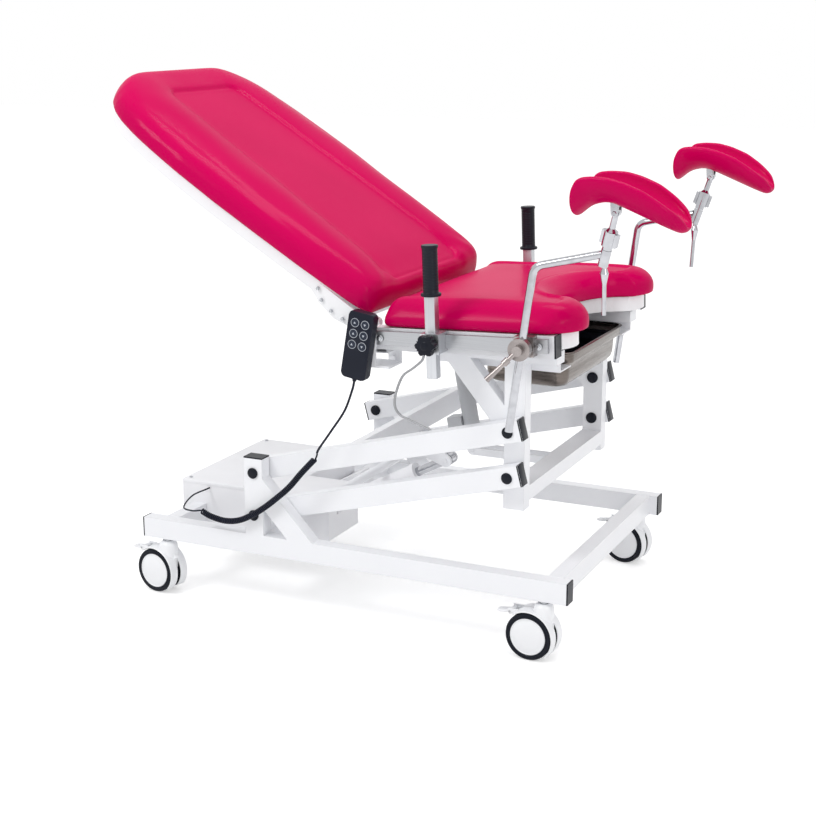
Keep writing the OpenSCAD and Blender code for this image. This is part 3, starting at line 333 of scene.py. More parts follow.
CORD = moulded("cord_jacket", tone(14, 18, 32), tone(26, 30, 46), 0.36, 900, 0.00005, 0.14)
CABLE = moulded("grey_cable", tone(190, 191, 193), tone(172, 173, 176), 0.42, 700, 0.00005)
RAIL_STEEL = brushed("brushed_rail", tone(188, 189, 192), tone(158, 160, 164), 0.3, (6, 900, 900))
BAR = brushed("brushed_bar", tone(206, 208, 212), tone(184, 186, 190), 0.36, (700, 700, 8))
STAINLESS = brushed("stainless", tone(128, 120, 115), tone(80, 74, 70), 0.26, (14, 14, 260))
CHROME = polished("chrome", tone(202, 203, 207), tone(160, 161, 166), 0.1)
NICKEL = cast("cast_nickel", tone(178, 170, 168), tone(128, 121, 120), 0.28)
ZINC = polished("zinc", tone(196, 198, 202), tone(172, 174, 178), 0.26)
# near-black steel colour used as painted shade inside the basin, not a real lining
PAINTED_SHADE_STEEL = brushed("painted_shade_steel", tone(44, 46, 54), tone(28, 30, 38), 0.34, (14, 14, 260))
MOTOR = moulded("actuator_grey", tone(196, 198, 201), tone(182, 184, 188), 0.45)
VINYL = vinyl("crimson_vinyl")


def dress(finish, *names):
    """A CAD node that stays gets this finish."""
    for n in names:
        mesh = nodes[n].data
        mesh.materials.clear()
        mesh.materials.append(finish.material)


dress(WHITE, "base_frame", "upper_arms", "lower_arms", "table_frame", "seat_frame")
dress(SHELL_WHITE, "back_pan", "seat_board")
dress(BOX_WHITE, "control_box", "lift_body")
dress(CAP, "base_fittings", "seat_caps")
dress(MOTOR, "tilt_body", "back_body")
dress(CHROME, "lift_rod", "tilt_rod", "back_rod", "leg_rod_n", "leg_rod_f", "leg_joint_n", "leg_joint_f",
      "leg_lever_n", "leg_lever_f")
dress(RAIL_STEEL, "seat_rails")
dress(NICKEL, "leg_clamp_n", "leg_clamp_f", "leg_tommy_n", "leg_tommy_f")
dress(BAR, "grip_clamp_n", "grip_clamp_f")
dress(KEY, *["key_%d" % i for i in range(1, 7)])


# ---- forms ----
def fan(radius, degrees):
    return [(radius * math.cos(a), radius * math.sin(a)) for a in np.radians(degrees)]


class Stock:
    """Gathers closed forms in millimetres and turns them into one finished piece."""

    def __init__(self):
        self.bm = bmesh.new()

    def _take(self, bm, place):
        mesh = bpy.data.meshes.new("stock")
        bm.to_mesh(mesh)
        bm.free()
        mesh.transform(place)
        self.bm.from_mesh(mesh)
        bpy.data.meshes.remove(mesh)
        return self

    def solid(self, verts, faces, place=Matrix()):
        bm = bmesh.new()
        made = [bm.verts.new(v) for v in verts]
        for f in faces:
            bm.faces.new([made[i] for i in f])
        return self._take(bm, place)

    def block(self, low, high, edge=0.0, place=Matrix(), steps=2):
        """Box with rounded edges."""
        bm = bmesh.new()
        bmesh.ops.create_cube(bm, size=1)
        low, high = Vector(low), Vector(high)
        for v in bm.verts:
            v.co = Vector([(high[k] + low[k]) / 2 + v.co[k] * (high[k] - low[k]) for k in range(3)])
        if edge:
            bmesh.ops.bevel(bm, geom=bm.edges[:], offset=edge, segments=steps, affect="EDGES", profile=0.5)
        return self._take(bm, place)

    def plate(self, outline, low, high, edge=0.0, place=Matrix(), steps=2):
        """Outline in local X and Y, standing from low to high along Z, with rounded rims."""
        bm = bmesh.new()
        floor = [bm.verts.new((x, y, low)) for x, y in outline]
        roof = [bm.verts.new((x, y, high)) for x, y in outline]
        n = len(outline)
        bm.faces.new(floor[::-1])
        bm.faces.new(roof)
        for i in range(n):
            bm.faces.new((floor[i], floor[(i + 1) % n], roof[(i + 1) % n], roof[i]))
        if edge:
            rims = [e for e in bm.edges if abs(e.verts[0].co.z - e.verts[1].co.z) < 1e-6]
            bmesh.ops.bevel(bm, geom=rims, offset=edge, segments=steps, affect="EDGES", profile=0.5)
        return self._take(bm, place)

    def lathe(self, profile, place=Matrix(), count=48):
        """Profile of (radius, height) turned about local Z; a closed ring where no radius is zero."""
        ring = all(r > 0 for r, _ in profile)
        verts, faces, rows = [], [], []
        for r, z in profile:
            if r == 0:
                rows.append([len(verts)])
                verts.append((0, 0, z))
            else:
                rows.append(list(range(len(verts), len(verts) + count)))
                verts += [(r * math.cos(2 * math.pi * k / count), r * math.sin(2 * math.pi * k / count), z)
                          for k in range(count)]
        pairs = list(zip(rows, rows[1:])) + ([(rows[-1], rows[0])] if ring else [])
        for a, b in pairs:
            for k in range(count):
                j = (k + 1) % count
                corner = [a[0] if len(a) == 1 else a[k], a[0] if len(a) == 1 else a[j],
                          b[0] if len(b) == 1 else b[j], b[0] if len(b) == 1 else b[k]]
                corner = [c for i, c in enumerate(corner) if c not in corner[:i]]
                if len(corner) > 2:
                    faces.append(corner)
        return self.solid(verts, faces, place)

    def skin(self, rows, place=Matrix()):
        """Closed skin through rows of equal length; each end closes by pairing its points."""
        n, m = len(rows), len(rows[0])
        verts = [tuple(p) for row in rows for p in row]
        faces = [(i * m + j, i * m + (j + 1) % m, (i + 1) * m + (j + 1) % m, (i + 1) * m + j)
                 for i in range(n - 1) for j in range(m)]
        for e in (0, (n - 1) * m):
            faces += [(e + j, e + m - 1 - j, e + m - 2 - j, e + j + 1) for j in range(m // 2 - 1)]
        return self.solid(verts, faces, place)

    def tube(self, path, radius, count=12):
        """Round sweep along a path, with round ends closed."""
        path = [np.array(p, float) for p in path]
        rows = []
        a = None
        for i, p in enumerate(path):
            d = unit(path[min(i + 1, len(path) - 1)] - path[max(i - 1, 0)])
            if a is None:
                a = unit(np.cross(d, [0.013, 1, 0.02] if abs(d[1]) < 0.9 else [1, 0.01, 0.02]))
            a = unit(a - d * np.dot(a, d))
            b = np.cross(d, a)
            rows.append([p + radius * (math.cos(w) * a + math.sin(w) * b)
                         for w in np.arange(count) * 2 * math.pi / count])
        return self.skin(rows)

    def arc(self, inner, outer, first, last, low, high, place=Matrix(), edge=1.0, count=28):
        """Curved bar about local Z from angle first to last, with eased edges; low and high along Z."""
        e = edge
        section = [(inner + e, low), (outer - e, low), (outer, low + e), (outer, high - e), (outer - e, high),
                   (inner + e, high), (inner, high - e), (inner, low + e)]
        rows = []
        for k in range(count + 1):
            a = math.radians(first + (last - first) * k / count)
            rows.append([(r * math.cos(a), r * math.sin(a), z) for r, z in section])
        return self.skin(rows, place)

    def mesh(self, name, finish, sharp=35):
        bmesh.ops.recalc_face_normals(self.bm, faces=self.bm.faces[:])
        mesh = bpy.data.meshes.new(name)
        self.bm.to_mesh(mesh)
        self.bm.free()
        mesh.transform(Matrix.Scale(MM, 4))
        mesh.polygons.foreach_set("use_smooth", [True] * len(mesh.polygons))
        if sharp:
            mesh.set_sharp_from_angle(angle=math.radians(sharp))
        mesh.materials.append(finish.material)
        obj = bpy.data.objects.new(name, mesh)
        scene.collection.objects.link(obj)
        return obj

    def piece(self, name, finish, body, slot, replaces=(), sharp=35):
        return fit(self.mesh(name, finish, sharp), body, replaces)


def fit(obj, body, replaces=()):
    """A finished piece rides on its body and stands for its CAD nodes."""
    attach(obj, body)
    if replaces:
        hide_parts(*replaces)
    return obj


def plain(obj):
    """Its modifiers worked out into a plain mesh."""
    bpy.context.view_layer.update()
    ready = obj.evaluated_get(bpy.context.evaluated_depsgraph_get())
    mesh = bpy.data.meshes.new_from_object(ready)
    obj.modifiers.clear()
    obj.data = mesh
    return obj


def smoothed(obj):
    """Its faces divided once and rounded."""
    fine = obj.modifiers.new("fine", "SUBSURF")
    fine.levels = fine.render_levels = 1
    return plain(obj)


# ---- geometry node trees ----
class Rule:
    """A geometry node tree with named inputs, applied to a carrier mesh and turned into a plain mesh."""

    def __init__(self, name, inputs):
        self.tree = bpy.data.node_groups.new(name, "GeometryNodeTree")
        face = self.tree.interface
        face.new_socket("Geometry", in_out="INPUT", socket_type="NodeSocketGeometry")
        self.ids = {}
        for key, kind in inputs.items():
            self.ids[key] = face.new_socket(key, in_out="INPUT", socket_type="NodeSocket" + kind).identifier
        face.new_socket("Geometry", in_out="OUTPUT", socket_type="NodeSocketGeometry")
        self.inlet = self.tree.nodes.new("NodeGroupInput")
        self.outlet = self.tree.nodes.new("NodeGroupOutput")

    def node(self, kind, settings=(), inputs=()):
        node = self.tree.nodes.new(kind)
        for name, value in dict(settings).items():
            setattr(node, name, value)
        for name, value in dict(inputs).items():
            if isinstance(value, bpy.types.NodeSocket):
                self.tree.links.new(value, node.inputs[name])
            else:
                node.inputs[name].default_value = value
        return node

    def given(self, name):
        return self.inlet.outputs[name]

    def end(self, socket):
        """Realised and with its finish set, as the last nodes."""
        real = self.node("GeometryNodeRealizeInstances", {}, {"Geometry": socket})
        last = self.node("GeometryNodeSetMaterial", {}, {"Geometry": real.outputs[0],
                                                         "Material": self.given("Finish")})
        self.tree.links.new(last.outputs[0], self.outlet.inputs[0])
        return self

    def make(self, name, carrier, finish, values, sharp=35):
        """The rule worked out on a carrier mesh, as a plain mesh object."""
        obj = bpy.data.objects.new(name, carrier)
        scene.collection.objects.link(obj)
        mod = obj.modifiers.new("rule", "NODES")
        mod.node_group = self.tree
        mod[self.ids["Finish"]] = finish.material
        for key, value in values.items():
            mod[self.ids[key]] = value
        mesh = plain(obj).data
        mesh.polygons.foreach_set("use_smooth", [True] * len(mesh.polygons))
        mesh.set_sharp_from_angle(angle=math.radians(sharp))
        if finish.material.name not in mesh.materials:
            mesh.materials.clear()
            mesh.materials.append(finish.material)
        return obj


def repeat_rule():
    """Copies of an item on the carrier's points, its Z axis along each point's aim."""
    rule = Rule("repeat_on_points", {"Item": "Object", "Size": "Float", "Finish": "Material"})
    item = rule.node("GeometryNodeObjectInfo", {}, {"Object": rule.given("Item")})
    aim = rule.node("GeometryNodeInputNamedAttribute", {"data_type": "FLOAT_VECTOR"}, {"Name": "aim"})
    way = rule.node("FunctionNodeAlignRotationToVector", {"axis": "Z"}, {"Vector": aim.outputs[0]})
    put = rule.node("GeometryNodeInstanceOnPoints", {},
                    {"Points": rule.given("Geometry"), "Instance": item.outputs["Geometry"],
                     "Rotation": way.outputs[0], "Scale": rule.given("Size")})
    return rule.end(put.outputs[0])


def bead_rule():
    """A round bead along the carrier's edges, rippled as a weld or a stitched seam is."""
    rule = Rule("bead_on_path", {"Radius": "Float", "Ripple": "Float", "Pitch": "Float", "Finish": "Material"})
    line = rule.node("GeometryNodeMeshToCurve", {}, {"Mesh": rule.given("Geometry")})
    even = rule.node("GeometryNodeResampleCurve", {"mode": "LENGTH"},
                     {"Curve": line.outputs[0], "Length": rule.given("Pitch")})
    index = rule.node("GeometryNodeInputIndex")
    half = rule.node("ShaderNodeMath", {"operation": "MODULO"}, {0: index.outputs[0], 1: 2.0})
    wave = rule.node("ShaderNodeMath", {"operation": "MULTIPLY_ADD"},
                     {0: half.outputs[0], 1: rule.given("Ripple"), 2: rule.given("Radius")})
    thick = rule.node("GeometryNodeSetCurveRadius", {}, {"Curve": even.outputs[0], "Radius": wave.outputs[0]})
    ring = rule.node("GeometryNodeCurvePrimitiveCircle", {}, {"Resolution": 8, "Radius": 1.0})
    settings = {"Curve": thick.outputs[0], "Profile Curve": ring.outputs[0], "Fill Caps": True}
    tube = rule.node("GeometryNodeCurveToMesh", {}, settings)
    if "Scale" in tube.inputs:
        size = rule.node("GeometryNodeInputRadius")
        rule.tree.links.new(size.outputs[0], tube.inputs["Scale"])
    return rule.end(tube.outputs[0])


REPEAT = repeat_rule()
BEAD = bead_rule()


def points_mesh(name, places):
    """Carrier of the repeat rule: (point in mm, aim) pairs."""
    mesh = bpy.data.meshes.new(name)
    mesh.from_pydata([tuple(Vector(p) * MM) for p, _ in places], [], [])
    aim = mesh.attributes.new("aim", "FLOAT_VECTOR", "POINT")
    aim.data.foreach_set("vector", np.array([list(Vector(a).normalized()) for _, a in places], float).ravel())
    return mesh


def repeated(name, item, places, finish, body):
    obj = REPEAT.make(name, points_mesh(name, places), finish, {"Item": item, "Size": 1.0})
    return fit(obj, body)


def path_mesh(name, paths):
    verts, edges = [], []
    for path in paths:
        edges += [(len(verts) + i, len(verts) + i + 1) for i in range(len(path) - 1)]
        verts += [tuple(Vector(p) * MM) for p in path]
    mesh = bpy.data.meshes.new(name)
    mesh.from_pydata(verts, edges, [])
    return mesh


def beads(name, paths, radius, ripple, pitch, finish, body):
    """Weld or seam beads along paths in millimetres."""
    obj = BEAD.make(name, path_mesh(name, paths), finish,
                    {"Radius": radius * MM, "Ripple": ripple * MM, "Pitch": pitch * MM}, sharp=80)
    return fit(obj, body)


def spare(stock, name, finish=CAP):
    """An item for the repeat rule; taken out again before the end."""
    obj = stock.mesh(name, finish)
    items.append(obj)
    return obj


items = []

# ---- cords ----
coil = coil_route()
coil_piece = Stock().tube(coil, 1.85, 10).piece("coiled_cord", CORD, "base", "black", ["cord_coil"], sharp=0)
top = top_route()
top_piece = Stock().tube(top, 2.5, 14).piece("hand_control_cord", CORD, "table", "black", ["cord_top"], sharp=0)


def length_of(path):
    return float(np.linalg.norm(np.diff(np.array(path), axis=0), axis=1).sum()) * MM


length_of(coil)
length_of(top)
for tag, aside in (("a", -2.1), ("b", 2.1)):
    loop = loop_route(aside)
    cable = Stock().tube(loop, 2.0, 12).piece("frame_cable_" + tag, CABLE, "table", "grey",
                                              ["cable_loop"] if tag == "a" else (), sharp=0)
    length_of(loop)


# ---- cushions ----
def swell(d, r):
    """Rounded thickness across a span: 0 at the rim, 1 inside."""
    return 1.0 if d >= r else math.sqrt(max(0.0, 1 - (1 - d / r) ** 2))


def points_of(mesh):
    co = np.zeros(len(mesh.vertices) * 3)
    mesh.vertices.foreach_get("co", co)
    return co.reshape(-1, 3)


def put_points(mesh, co):
    mesh.vertices.foreach_set("co", co.ravel())
    mesh.update()


CLOTH_FRAMES = 20


def evened(mesh, value, rounds=40):
    """One value per point, evened out over its neighbours."""
    ends = np.zeros(len(mesh.edges) * 2, int)
    mesh.edges.foreach_get("vertices", ends)
    a, b = ends.reshape(-1, 2).T
    count = np.bincount(np.concatenate([a, b]), minlength=len(value)).clip(1)
    for _ in range(rounds):
        total = np.bincount(np.concatenate([a, b]), np.concatenate([value[b], value[a]]), len(value))
        value = (value + total / count) / 2
    return value


def inflate(obj, held, voxel=0.006, pressure=4.0, cap=0.007):
    """Padding blown up by cloth from a slightly smaller shape; held(point) keeps the underside still."""
    remesh = obj.modifiers.new("voxels", "REMESH")
    remesh.mode = "VOXEL"
    remesh.voxel_size = voxel
    plain(obj)
    rest = points_of(obj.data)
    group = obj.vertex_groups.new(name="held")
    group.add([i for i, p in enumerate(rest) if held(p)], 1.0, "REPLACE")
    cloth = obj.modifiers.new("cloth", "CLOTH")
    cloth.settings.quality = 5
    cloth.settings.use_pressure = True
    cloth.settings.uniform_pressure_force = pressure
    cloth.settings.effector_weights.gravity = 0
    cloth.settings.vertex_group_mass = "held"
    for f in range(1, CLOTH_FRAMES + 1):
        scene.frame_set(f)
    plain(obj)
    obj.vertex_groups.clear()
    step = points_of(obj.data) - rest
    put_points(obj.data, rest)
    normal = np.zeros(len(rest) * 3)
    obj.data.vertices.foreach_get("normal", normal)
    normal = normal.reshape(-1, 3)
    out = np.clip((step * normal).sum(axis=1), 0, cap)
    put_points(obj.data, rest + normal * evened(obj.data, out)[:, None])
    scene.frame_set(1)
    return smoothed(obj)


def upper_part(height):
    """0 at a cushion's sides, 1 on its top; height in mm over its underside."""
    return np.clip((height - 26) / 16, 0, 1)


def bump_at(x, centre, width):
    return np.exp(-((x - centre) / width) ** 2)


def sewn(inside, rise, wide, drop, seam, slope):
    """Height across a sewn panel's edge: a roll outside it, a drop inside and a groove along its seam."""
    panel = 1 / (1 + np.exp(-np.clip(inside / slope, -30, 30)))
    roll = np.sin(math.pi * np.clip(-inside / wide, 0, 1))
    return rise * roll - drop * panel - seam * bump_at(inside, 0, 4.5)


def settle(obj, points, place, body, node):
    """The cushion with its final points in millimetres, moved to its place and finished."""
    put_points(obj.data, points * MM)
    obj.data.transform(Matrix.Scale(MM, 4) @ place @ Matrix.Scale(1 / MM, 4))
    finish_soft(obj, body, node)


def finish_soft(obj, body, node):
    mesh = obj.data
    mesh.materials.clear()
    mesh.materials.append(VINYL.material)
    mesh.polygons.foreach_set("use_smooth", [True] * len(mesh.polygons))
    fit(obj, body, [node])


BACK_SHAPE = [(0, 0.87), (0.03, 0.905), (0.07, 0.925), (0.22, 0.965), (0.38, 0.988), (0.5, 1), (0.64, 0.994),
              (0.74, 0.97), (0.8, 0.945), (0.86, 0.9), (0.9, 0.845), (0.935, 0.76), (0.965, 0.64),
              (0.985, 0.46), (1, 0.25)]


def back_half(t):
    return BACK_W / 2 * np.interp(t, *zip(*BACK_SHAPE))


PANEL_FOOT, PANEL_HEAD, PANEL_HALF, PANEL_TAPER, PANEL_CORNER = 44, 722, 178, 41, 30


def back_cushion():
    rows, cols, zb = 60, 40, PAN + 0.6
    loops = []
    for i in range(rows + 1):
        t = 0.5 - 0.5 * math.cos(math.pi * i / rows)
        u = BACK_U0 + 1 + (BACK_LEN - 3) * t
        e = swell(BACK_LEN * t + 0.6, 40) * swell(BACK_LEN * (1 - t) + 0.6, 42)
        w = back_half(t) - 2 - 6 * (1 - e)
        top_row, low_row = [], []
        for j in range(cols + 1):
            q = math.cos(math.pi * j / cols)
            g = swell(w - abs(w * q), 48)
            top_row.append((-u, w * q, zb + 5 + 14 * e + (BACK_THICK - 22) * e * g))
        for j in range(cols + 1):
            q = -math.cos(math.pi * j / cols)
            g = swell(w - abs(w * q), 14)
            low_row.append((-u, w * q, zb + 8 * (1 - g) * e))
        loops.append(top_row + low_row)
    obj = Stock().skin(loops).mesh("back_cushion_pad", VINYL, sharp=0)
    obj = inflate(obj, lambda p: p[2] < (PAN + 6) * MM, voxel=0.0075)
    co = points_of(obj.data) / MM
    u, y, z = -co[:, 0], co[:, 1], co[:, 2]
    upper = upper_part(z - PAN)
    half = PANEL_HALF - PANEL_TAPER * (u - 27) / 690
    # signed distance inside the sewn panel, rounded at its corners
    side, end = half - np.abs(y), np.minimum(u - PANEL_FOOT, PANEL_HEAD - u)
    corner = np.hypot(np.maximum(0, PANEL_CORNER - side), np.maximum(0, PANEL_CORNER - end))
    inside = np.where(corner > 0, PANEL_CORNER - corner, np.minimum(side, end))
    z += upper * sewn(inside, rise=7.0, wide=130, drop=6.5, seam=2.4, slope=4.5)
    # soft folds at the foot corners of the panel and along the bolsters
    fold = bump_at(u, 60, 46) * bump_at(np.abs(y), 214, 60) * np.sin((np.abs(y) - 214 + (u - 60) * 0.8) / 9)
    z += upper * fold * 0.9
    z += upper * 0.7 * np.sin(u / 43 + 1.3 * np.sin(y / 61)) * bump_at(np.abs(y), half + 44, 34)
    settle(obj, np.stack([co[:, 0], y, z], 1), BACK, "back", "back_cushion")


CUT, DEEP, LOBE = 165, 120, 5


def seat_front(y):
    """Foot edge of the seat cushion with its round cut."""
    a, w = abs(y), SEAT_W / 2 + LOBE
    if a < CUT:
        return CUSH_FX - 22 - (DEEP - 22) * math.sqrt(1 - (a / CUT) ** 2.2)
    near = 26 * ((a - CUT - 55) / 55) ** 2 * 0.85 if a < CUT + 55 else 0
    return CUSH_FX - near - 62 * (max(0, (a - CUT - 55) / (w - CUT - 55))) ** 2.4


def seat_cushion():
    rows, cols, zb, thick = 64, 34, SEAT_Z + 0.6, 60
    w = SEAT_W / 2 + LOBE - 3
    loops = []
    for i in range(1, rows):
        y = w * math.sin(math.pi / 2 * (2 * i / rows - 1))
        e = swell(w - abs(y), 58)
        xf, xh = seat_front(y) - 3, CUSH_HX + 3 + 8 * (1 - e)
        top_row, low_row = [], []
        for j in range(cols + 1):
            x = xf + (xh - xf) * (0.5 - 0.5 * math.cos(math.pi * j / cols))
            g = swell(xf - x, 62) * swell(x - xh, 34)
            k = 20 + (thick - 24) * e * g
            top_row.append((x, y, zb + k * (0.55 + 0.45 * e)))
        for j in range(cols + 1):
            x = xh + (xf - xh) * (0.5 - 0.5 * math.cos(math.pi * j / cols))
            g = swell(min(xf - x, x - xh), 16)
            low_row.append((x, y, zb + 4 * (1 - g) + 3 * (1 - e)))
        loops.append(top_row + low_row)
    obj = Stock().skin(loops).mesh("seat_cushion_pad", VINYL, sharp=0)
    obj = inflate(obj, lambda p: p[2] < (SEAT_Z + 5) * MM)
    co = points_of(obj.data) / MM
    x, y, z = co[:, 0], co[:, 1], co[:, 2]
    upper = upper_part(z - SEAT_Z)
    front = np.array([seat_front(v) for v in np.clip(y, -w, w)])
    rim = np.minimum(SEAT_W / 2 + LOBE - np.abs(y) - 66, (front - x) - 62)
    z += upper * sewn(rim, rise=3.0, wide=60, drop=4.6, seam=2.2, slope=5.0)
    z += upper * 0.6 * np.sin(x / 37 + np.sin(y / 48)) * bump_at(rim, -34, 24)
    settle(obj, np.stack([x, y, z], 1), SEAT, "seat", "seat_cushion")


back_cushion()
seat_cushion()

# ---- knee shells ----
SHELL_LOW = [(-72, -14), (-67, -12), (-58, -3), (-43, 7), (-20, 13), (0, 12), (50, -8), (100, -28), (122, -36),
             (132, -37), (138, -30)]
SHELL_HIGH = [(-72, 18), (-70, 36), (-65, 48), (-54, 57), (-30, 60), (0, 59), (30, 52), (66, 38), (96, 19), (118, 2),
              (130, -9), (136, -18), (138, -26)]
SHELL_HALF = [(-72, 56), (-69, 64), (-64, 66), (-54, 61), (-40, 62), (0, 68), (60, 66), (96, 60), (116, 52),
              (128, 42), (134, 32), (138, 16)]
SHELL_PIVOT = (FOOT + 82, -341, 916)


def eased(x, table, spread=7.0):
    """A table's value with its corners eased by averaging over a short stretch."""
    xs, ys = zip(*table)
    at = np.clip(np.linspace(x - spread, x + spread, 9), xs[0], xs[-1])
    return float(np.interp(at, xs, ys).mean())


def knee_shell(tag, place):
    rows = []
    for i in range(57):
        t = i / 56
        x = 33 - 105 * math.cos(math.pi * t)
        ease = min(1.0, 8 * t, 8 * (1 - t))
        spread = 7 * ease
        lo, hi = eased(x, SHELL_LOW, spread), eased(x, SHELL_HIGH, spread)
        half = eased(x, SHELL_HALF, spread)
        th = min(15, (hi - lo) * 0.45 + 2) * (0.9 + 0.1 * ease)
        outer = [(x, half * math.sin(a), lo + (hi - lo) * (1 - math.cos(a)))
                 for a in np.radians(np.linspace(90, -90, 25))]
        inner = [(x, (half - th) * math.sin(a), lo + th + (hi - lo - th * 0.9) * (1 - math.cos(a)))
                 for a in np.radians(np.linspace(-90, 90, 25))]

        def roll(s):
            mid = Vector((x, s * (half - th / 2), hi))
            return [(x, mid.y + s * th / 2 * math.cos(b), mid.z + th * 0.34 * math.sin(b))
                    for b in np.radians((36, 72, 108, 144))]

        rows.append(outer + roll(-1) + inner + roll(1)[::-1])
    m = len(rows[0])
    # the first point moves so that the ends close across the trough
    shift = 27
    rows = [row[shift:] + row[:shift] for row in rows]
    obj = Stock().skin(rows, place @ move(0, 0, 6)).mesh("knee_shell_pad_" + tag, VINYL, sharp=0)
    finish_soft(smoothed(obj), "leg_shell_" + tag, "leg_shell_" + tag)


for tag, mirror in (("n", Matrix()), ("f", FLIP)):
    pivot = mirror @ move(*SHELL_PIVOT)
    knee_shell(tag, pivot)
    ears = Stock()
    for s in (-1, 1):
        place = pivot @ move(0, s * 10.2, 0) @ turn(90, "X")
        ears.plate(fan(7, range(180, 361, 15)) + [(9, 30), (-9, 30)], -1.8, 1.8, 0.5, place)
        ears.lathe([(0, 4.4), (3.6, 4.2), (4.6, 3), (4.6, 0), (0, 0)], place if s < 0 else place @ turn(180, "X"), 6)
    ears.lathe([(0, -12), (3, -12), (3, 12), (0, 12)], pivot @ turn(90, "X"), 24)
    ears.plate([(-34, -22), (34, -22), (34, 22), (-34, 22)], 27, 30, 1.0, pivot @ turn(8, "Y"))
    ears.piece("shell_bracket_" + tag, CHROME, "leg_shell_" + tag, "chrome")

# ---- casters ----
TRAIL, WHEEL_R, WEB, WHEEL_W = 25, 50, 6, 18
for i, tag in enumerate(TAGS):
    at = caster_frame(i)
    tyre, disc = Stock(), Stock()
    for s in (-1, 1):
        hub = at @ move(-TRAIL, s * (WEB + 0.5 + WHEEL_W / 2), WHEEL_R) @ turn(-90 * s, "X")
        h = WHEEL_W / 2
        tyre.lathe([(39, -h + 1), (41, -h), (45.5, -h), (48.6, -h + 1.4), (50, -h + 4), (50, -1.2), (49.2, -0.6),
                    (49.2, 0.6), (50, 1.2), (50, h - 4), (48.6, h - 1.4), (46.2, h - 0.2), (44.6, h), (44.2, h - 1.2),
                    (43.4, h - 1.2), (43, h - 0.1), (40.2, h), (39, h - 1)], hub, 72)
        disc.lathe([(0, -h + 2), (39.2, -h + 2), (39.2, h - 2.4), (38.4, h - 0.8), (36.8, h - 0.4), (36.2, h - 1.6),
                    (35.2, h - 1.4), (31, h + 0.2), (24, h + 1.4), (14, h + 2.2), (0, h + 2.5)], hub, 64)
    tyre.piece("tyres_" + tag, TYRE, "wheels_" + tag, "tyre", ["caster_wheels_" + tag])
    disc.piece("wheel_discs_" + tag, SHELL_WHITE, "wheels_" + tag, "white")
    hub = at @ move(-TRAIL, 0, WHEEL_R) @ turn(90, "X")
    hood = Stock()
    hood.lathe([(0, 54), (16, 54), (19, 56), (20.6, 60), (21.2, 70), (21.2, 104), (20.4, 111), (18.2, 116), (15, 119),
                (12, 120.5), (0, 120.5)], at, 48)
    cheek = fan(44, range(150, 391, 8))
    hood.plate([(52, 34), (36, 52), (8, 56), (-18, 54), (-34, 44)] + cheek, -WEB, WEB, 1.6, hub, 3)
    for s in (-1, 1):
        low, high = sorted((s * (WEB - 1), s * (WEB + WHEEL_W + 3)))
        hood.arc(52.2, 55.2, -40, 128, low, high, hub, 1.2)
        hood.plate([(-45, 37), (-25, 47), (-25, 51), (-49, 51)][::-1], s * 14.5 - 1.5, s * 14.5 + 1.5, 0.5, hub)
    hood.lathe([(0, -16), (2.5, -16), (2.5, 16), (0, 16)], hub @ move(-44, 44, 0), 20)
    hood.piece("caster_hood_" + tag, SHELL_WHITE, "swivel_" + tag, "white", ["caster_fork_" + tag])
    stem = Stock()
    stem.lathe([(0, 118), (9, 118), (9, 124), (8.4, 124.8), (8.4, 127.9), (0, 127.9)], at, 6)
    stem.lathe([(0, 119), (12.5, 119), (12.5, 121.6), (0, 121.6)], at, 36)
    stem.piece("caster_stem_" + tag, ZINC, "swivel_" + tag, "steel")
    pedal = Stock()
    pin = at @ move(-TRAIL - 44, 0, WHEEL_R + 44)
    tread = []
    for k in range(9):
        x = -2 - k * 3.7
        z = -0.4 * k + 0.055 * k * k * 1.4
        half = 11 - (0.9 * max(0, k - 5)) ** 1.6 * 0.5
        tread.append([(x, half, z + 0.8), (x, half - 1, z + 2.2), (x, 1 - half, z + 2.2), (x, -half, z + 0.8),
                      (x, -half, z - 0.8), (x, 1 - half, z - 2), (x, half - 1, z - 2), (x, half, z - 0.8)])
    pedal.skin(tread, pin @ turn(-12, "Y"))
    for k in range(4):
        pedal.block((-27 + k * 4.2, -7, 1.4), (-25.4 + k * 4.2, 7, 2.9), 0.5, pin @ turn(-12, "Y"))
    pedal.lathe([(2.7, -12), (4.5, -12), (5, -11.4), (5, 11.4), (4.5, 12), (2.7, 12)], pin @ turn(90, "X"), 28)
    pedal.piece("brake_pedal_" + tag, SHELL_WHITE, "pedal_" + tag, "white", ["caster_pedal_" + tag])

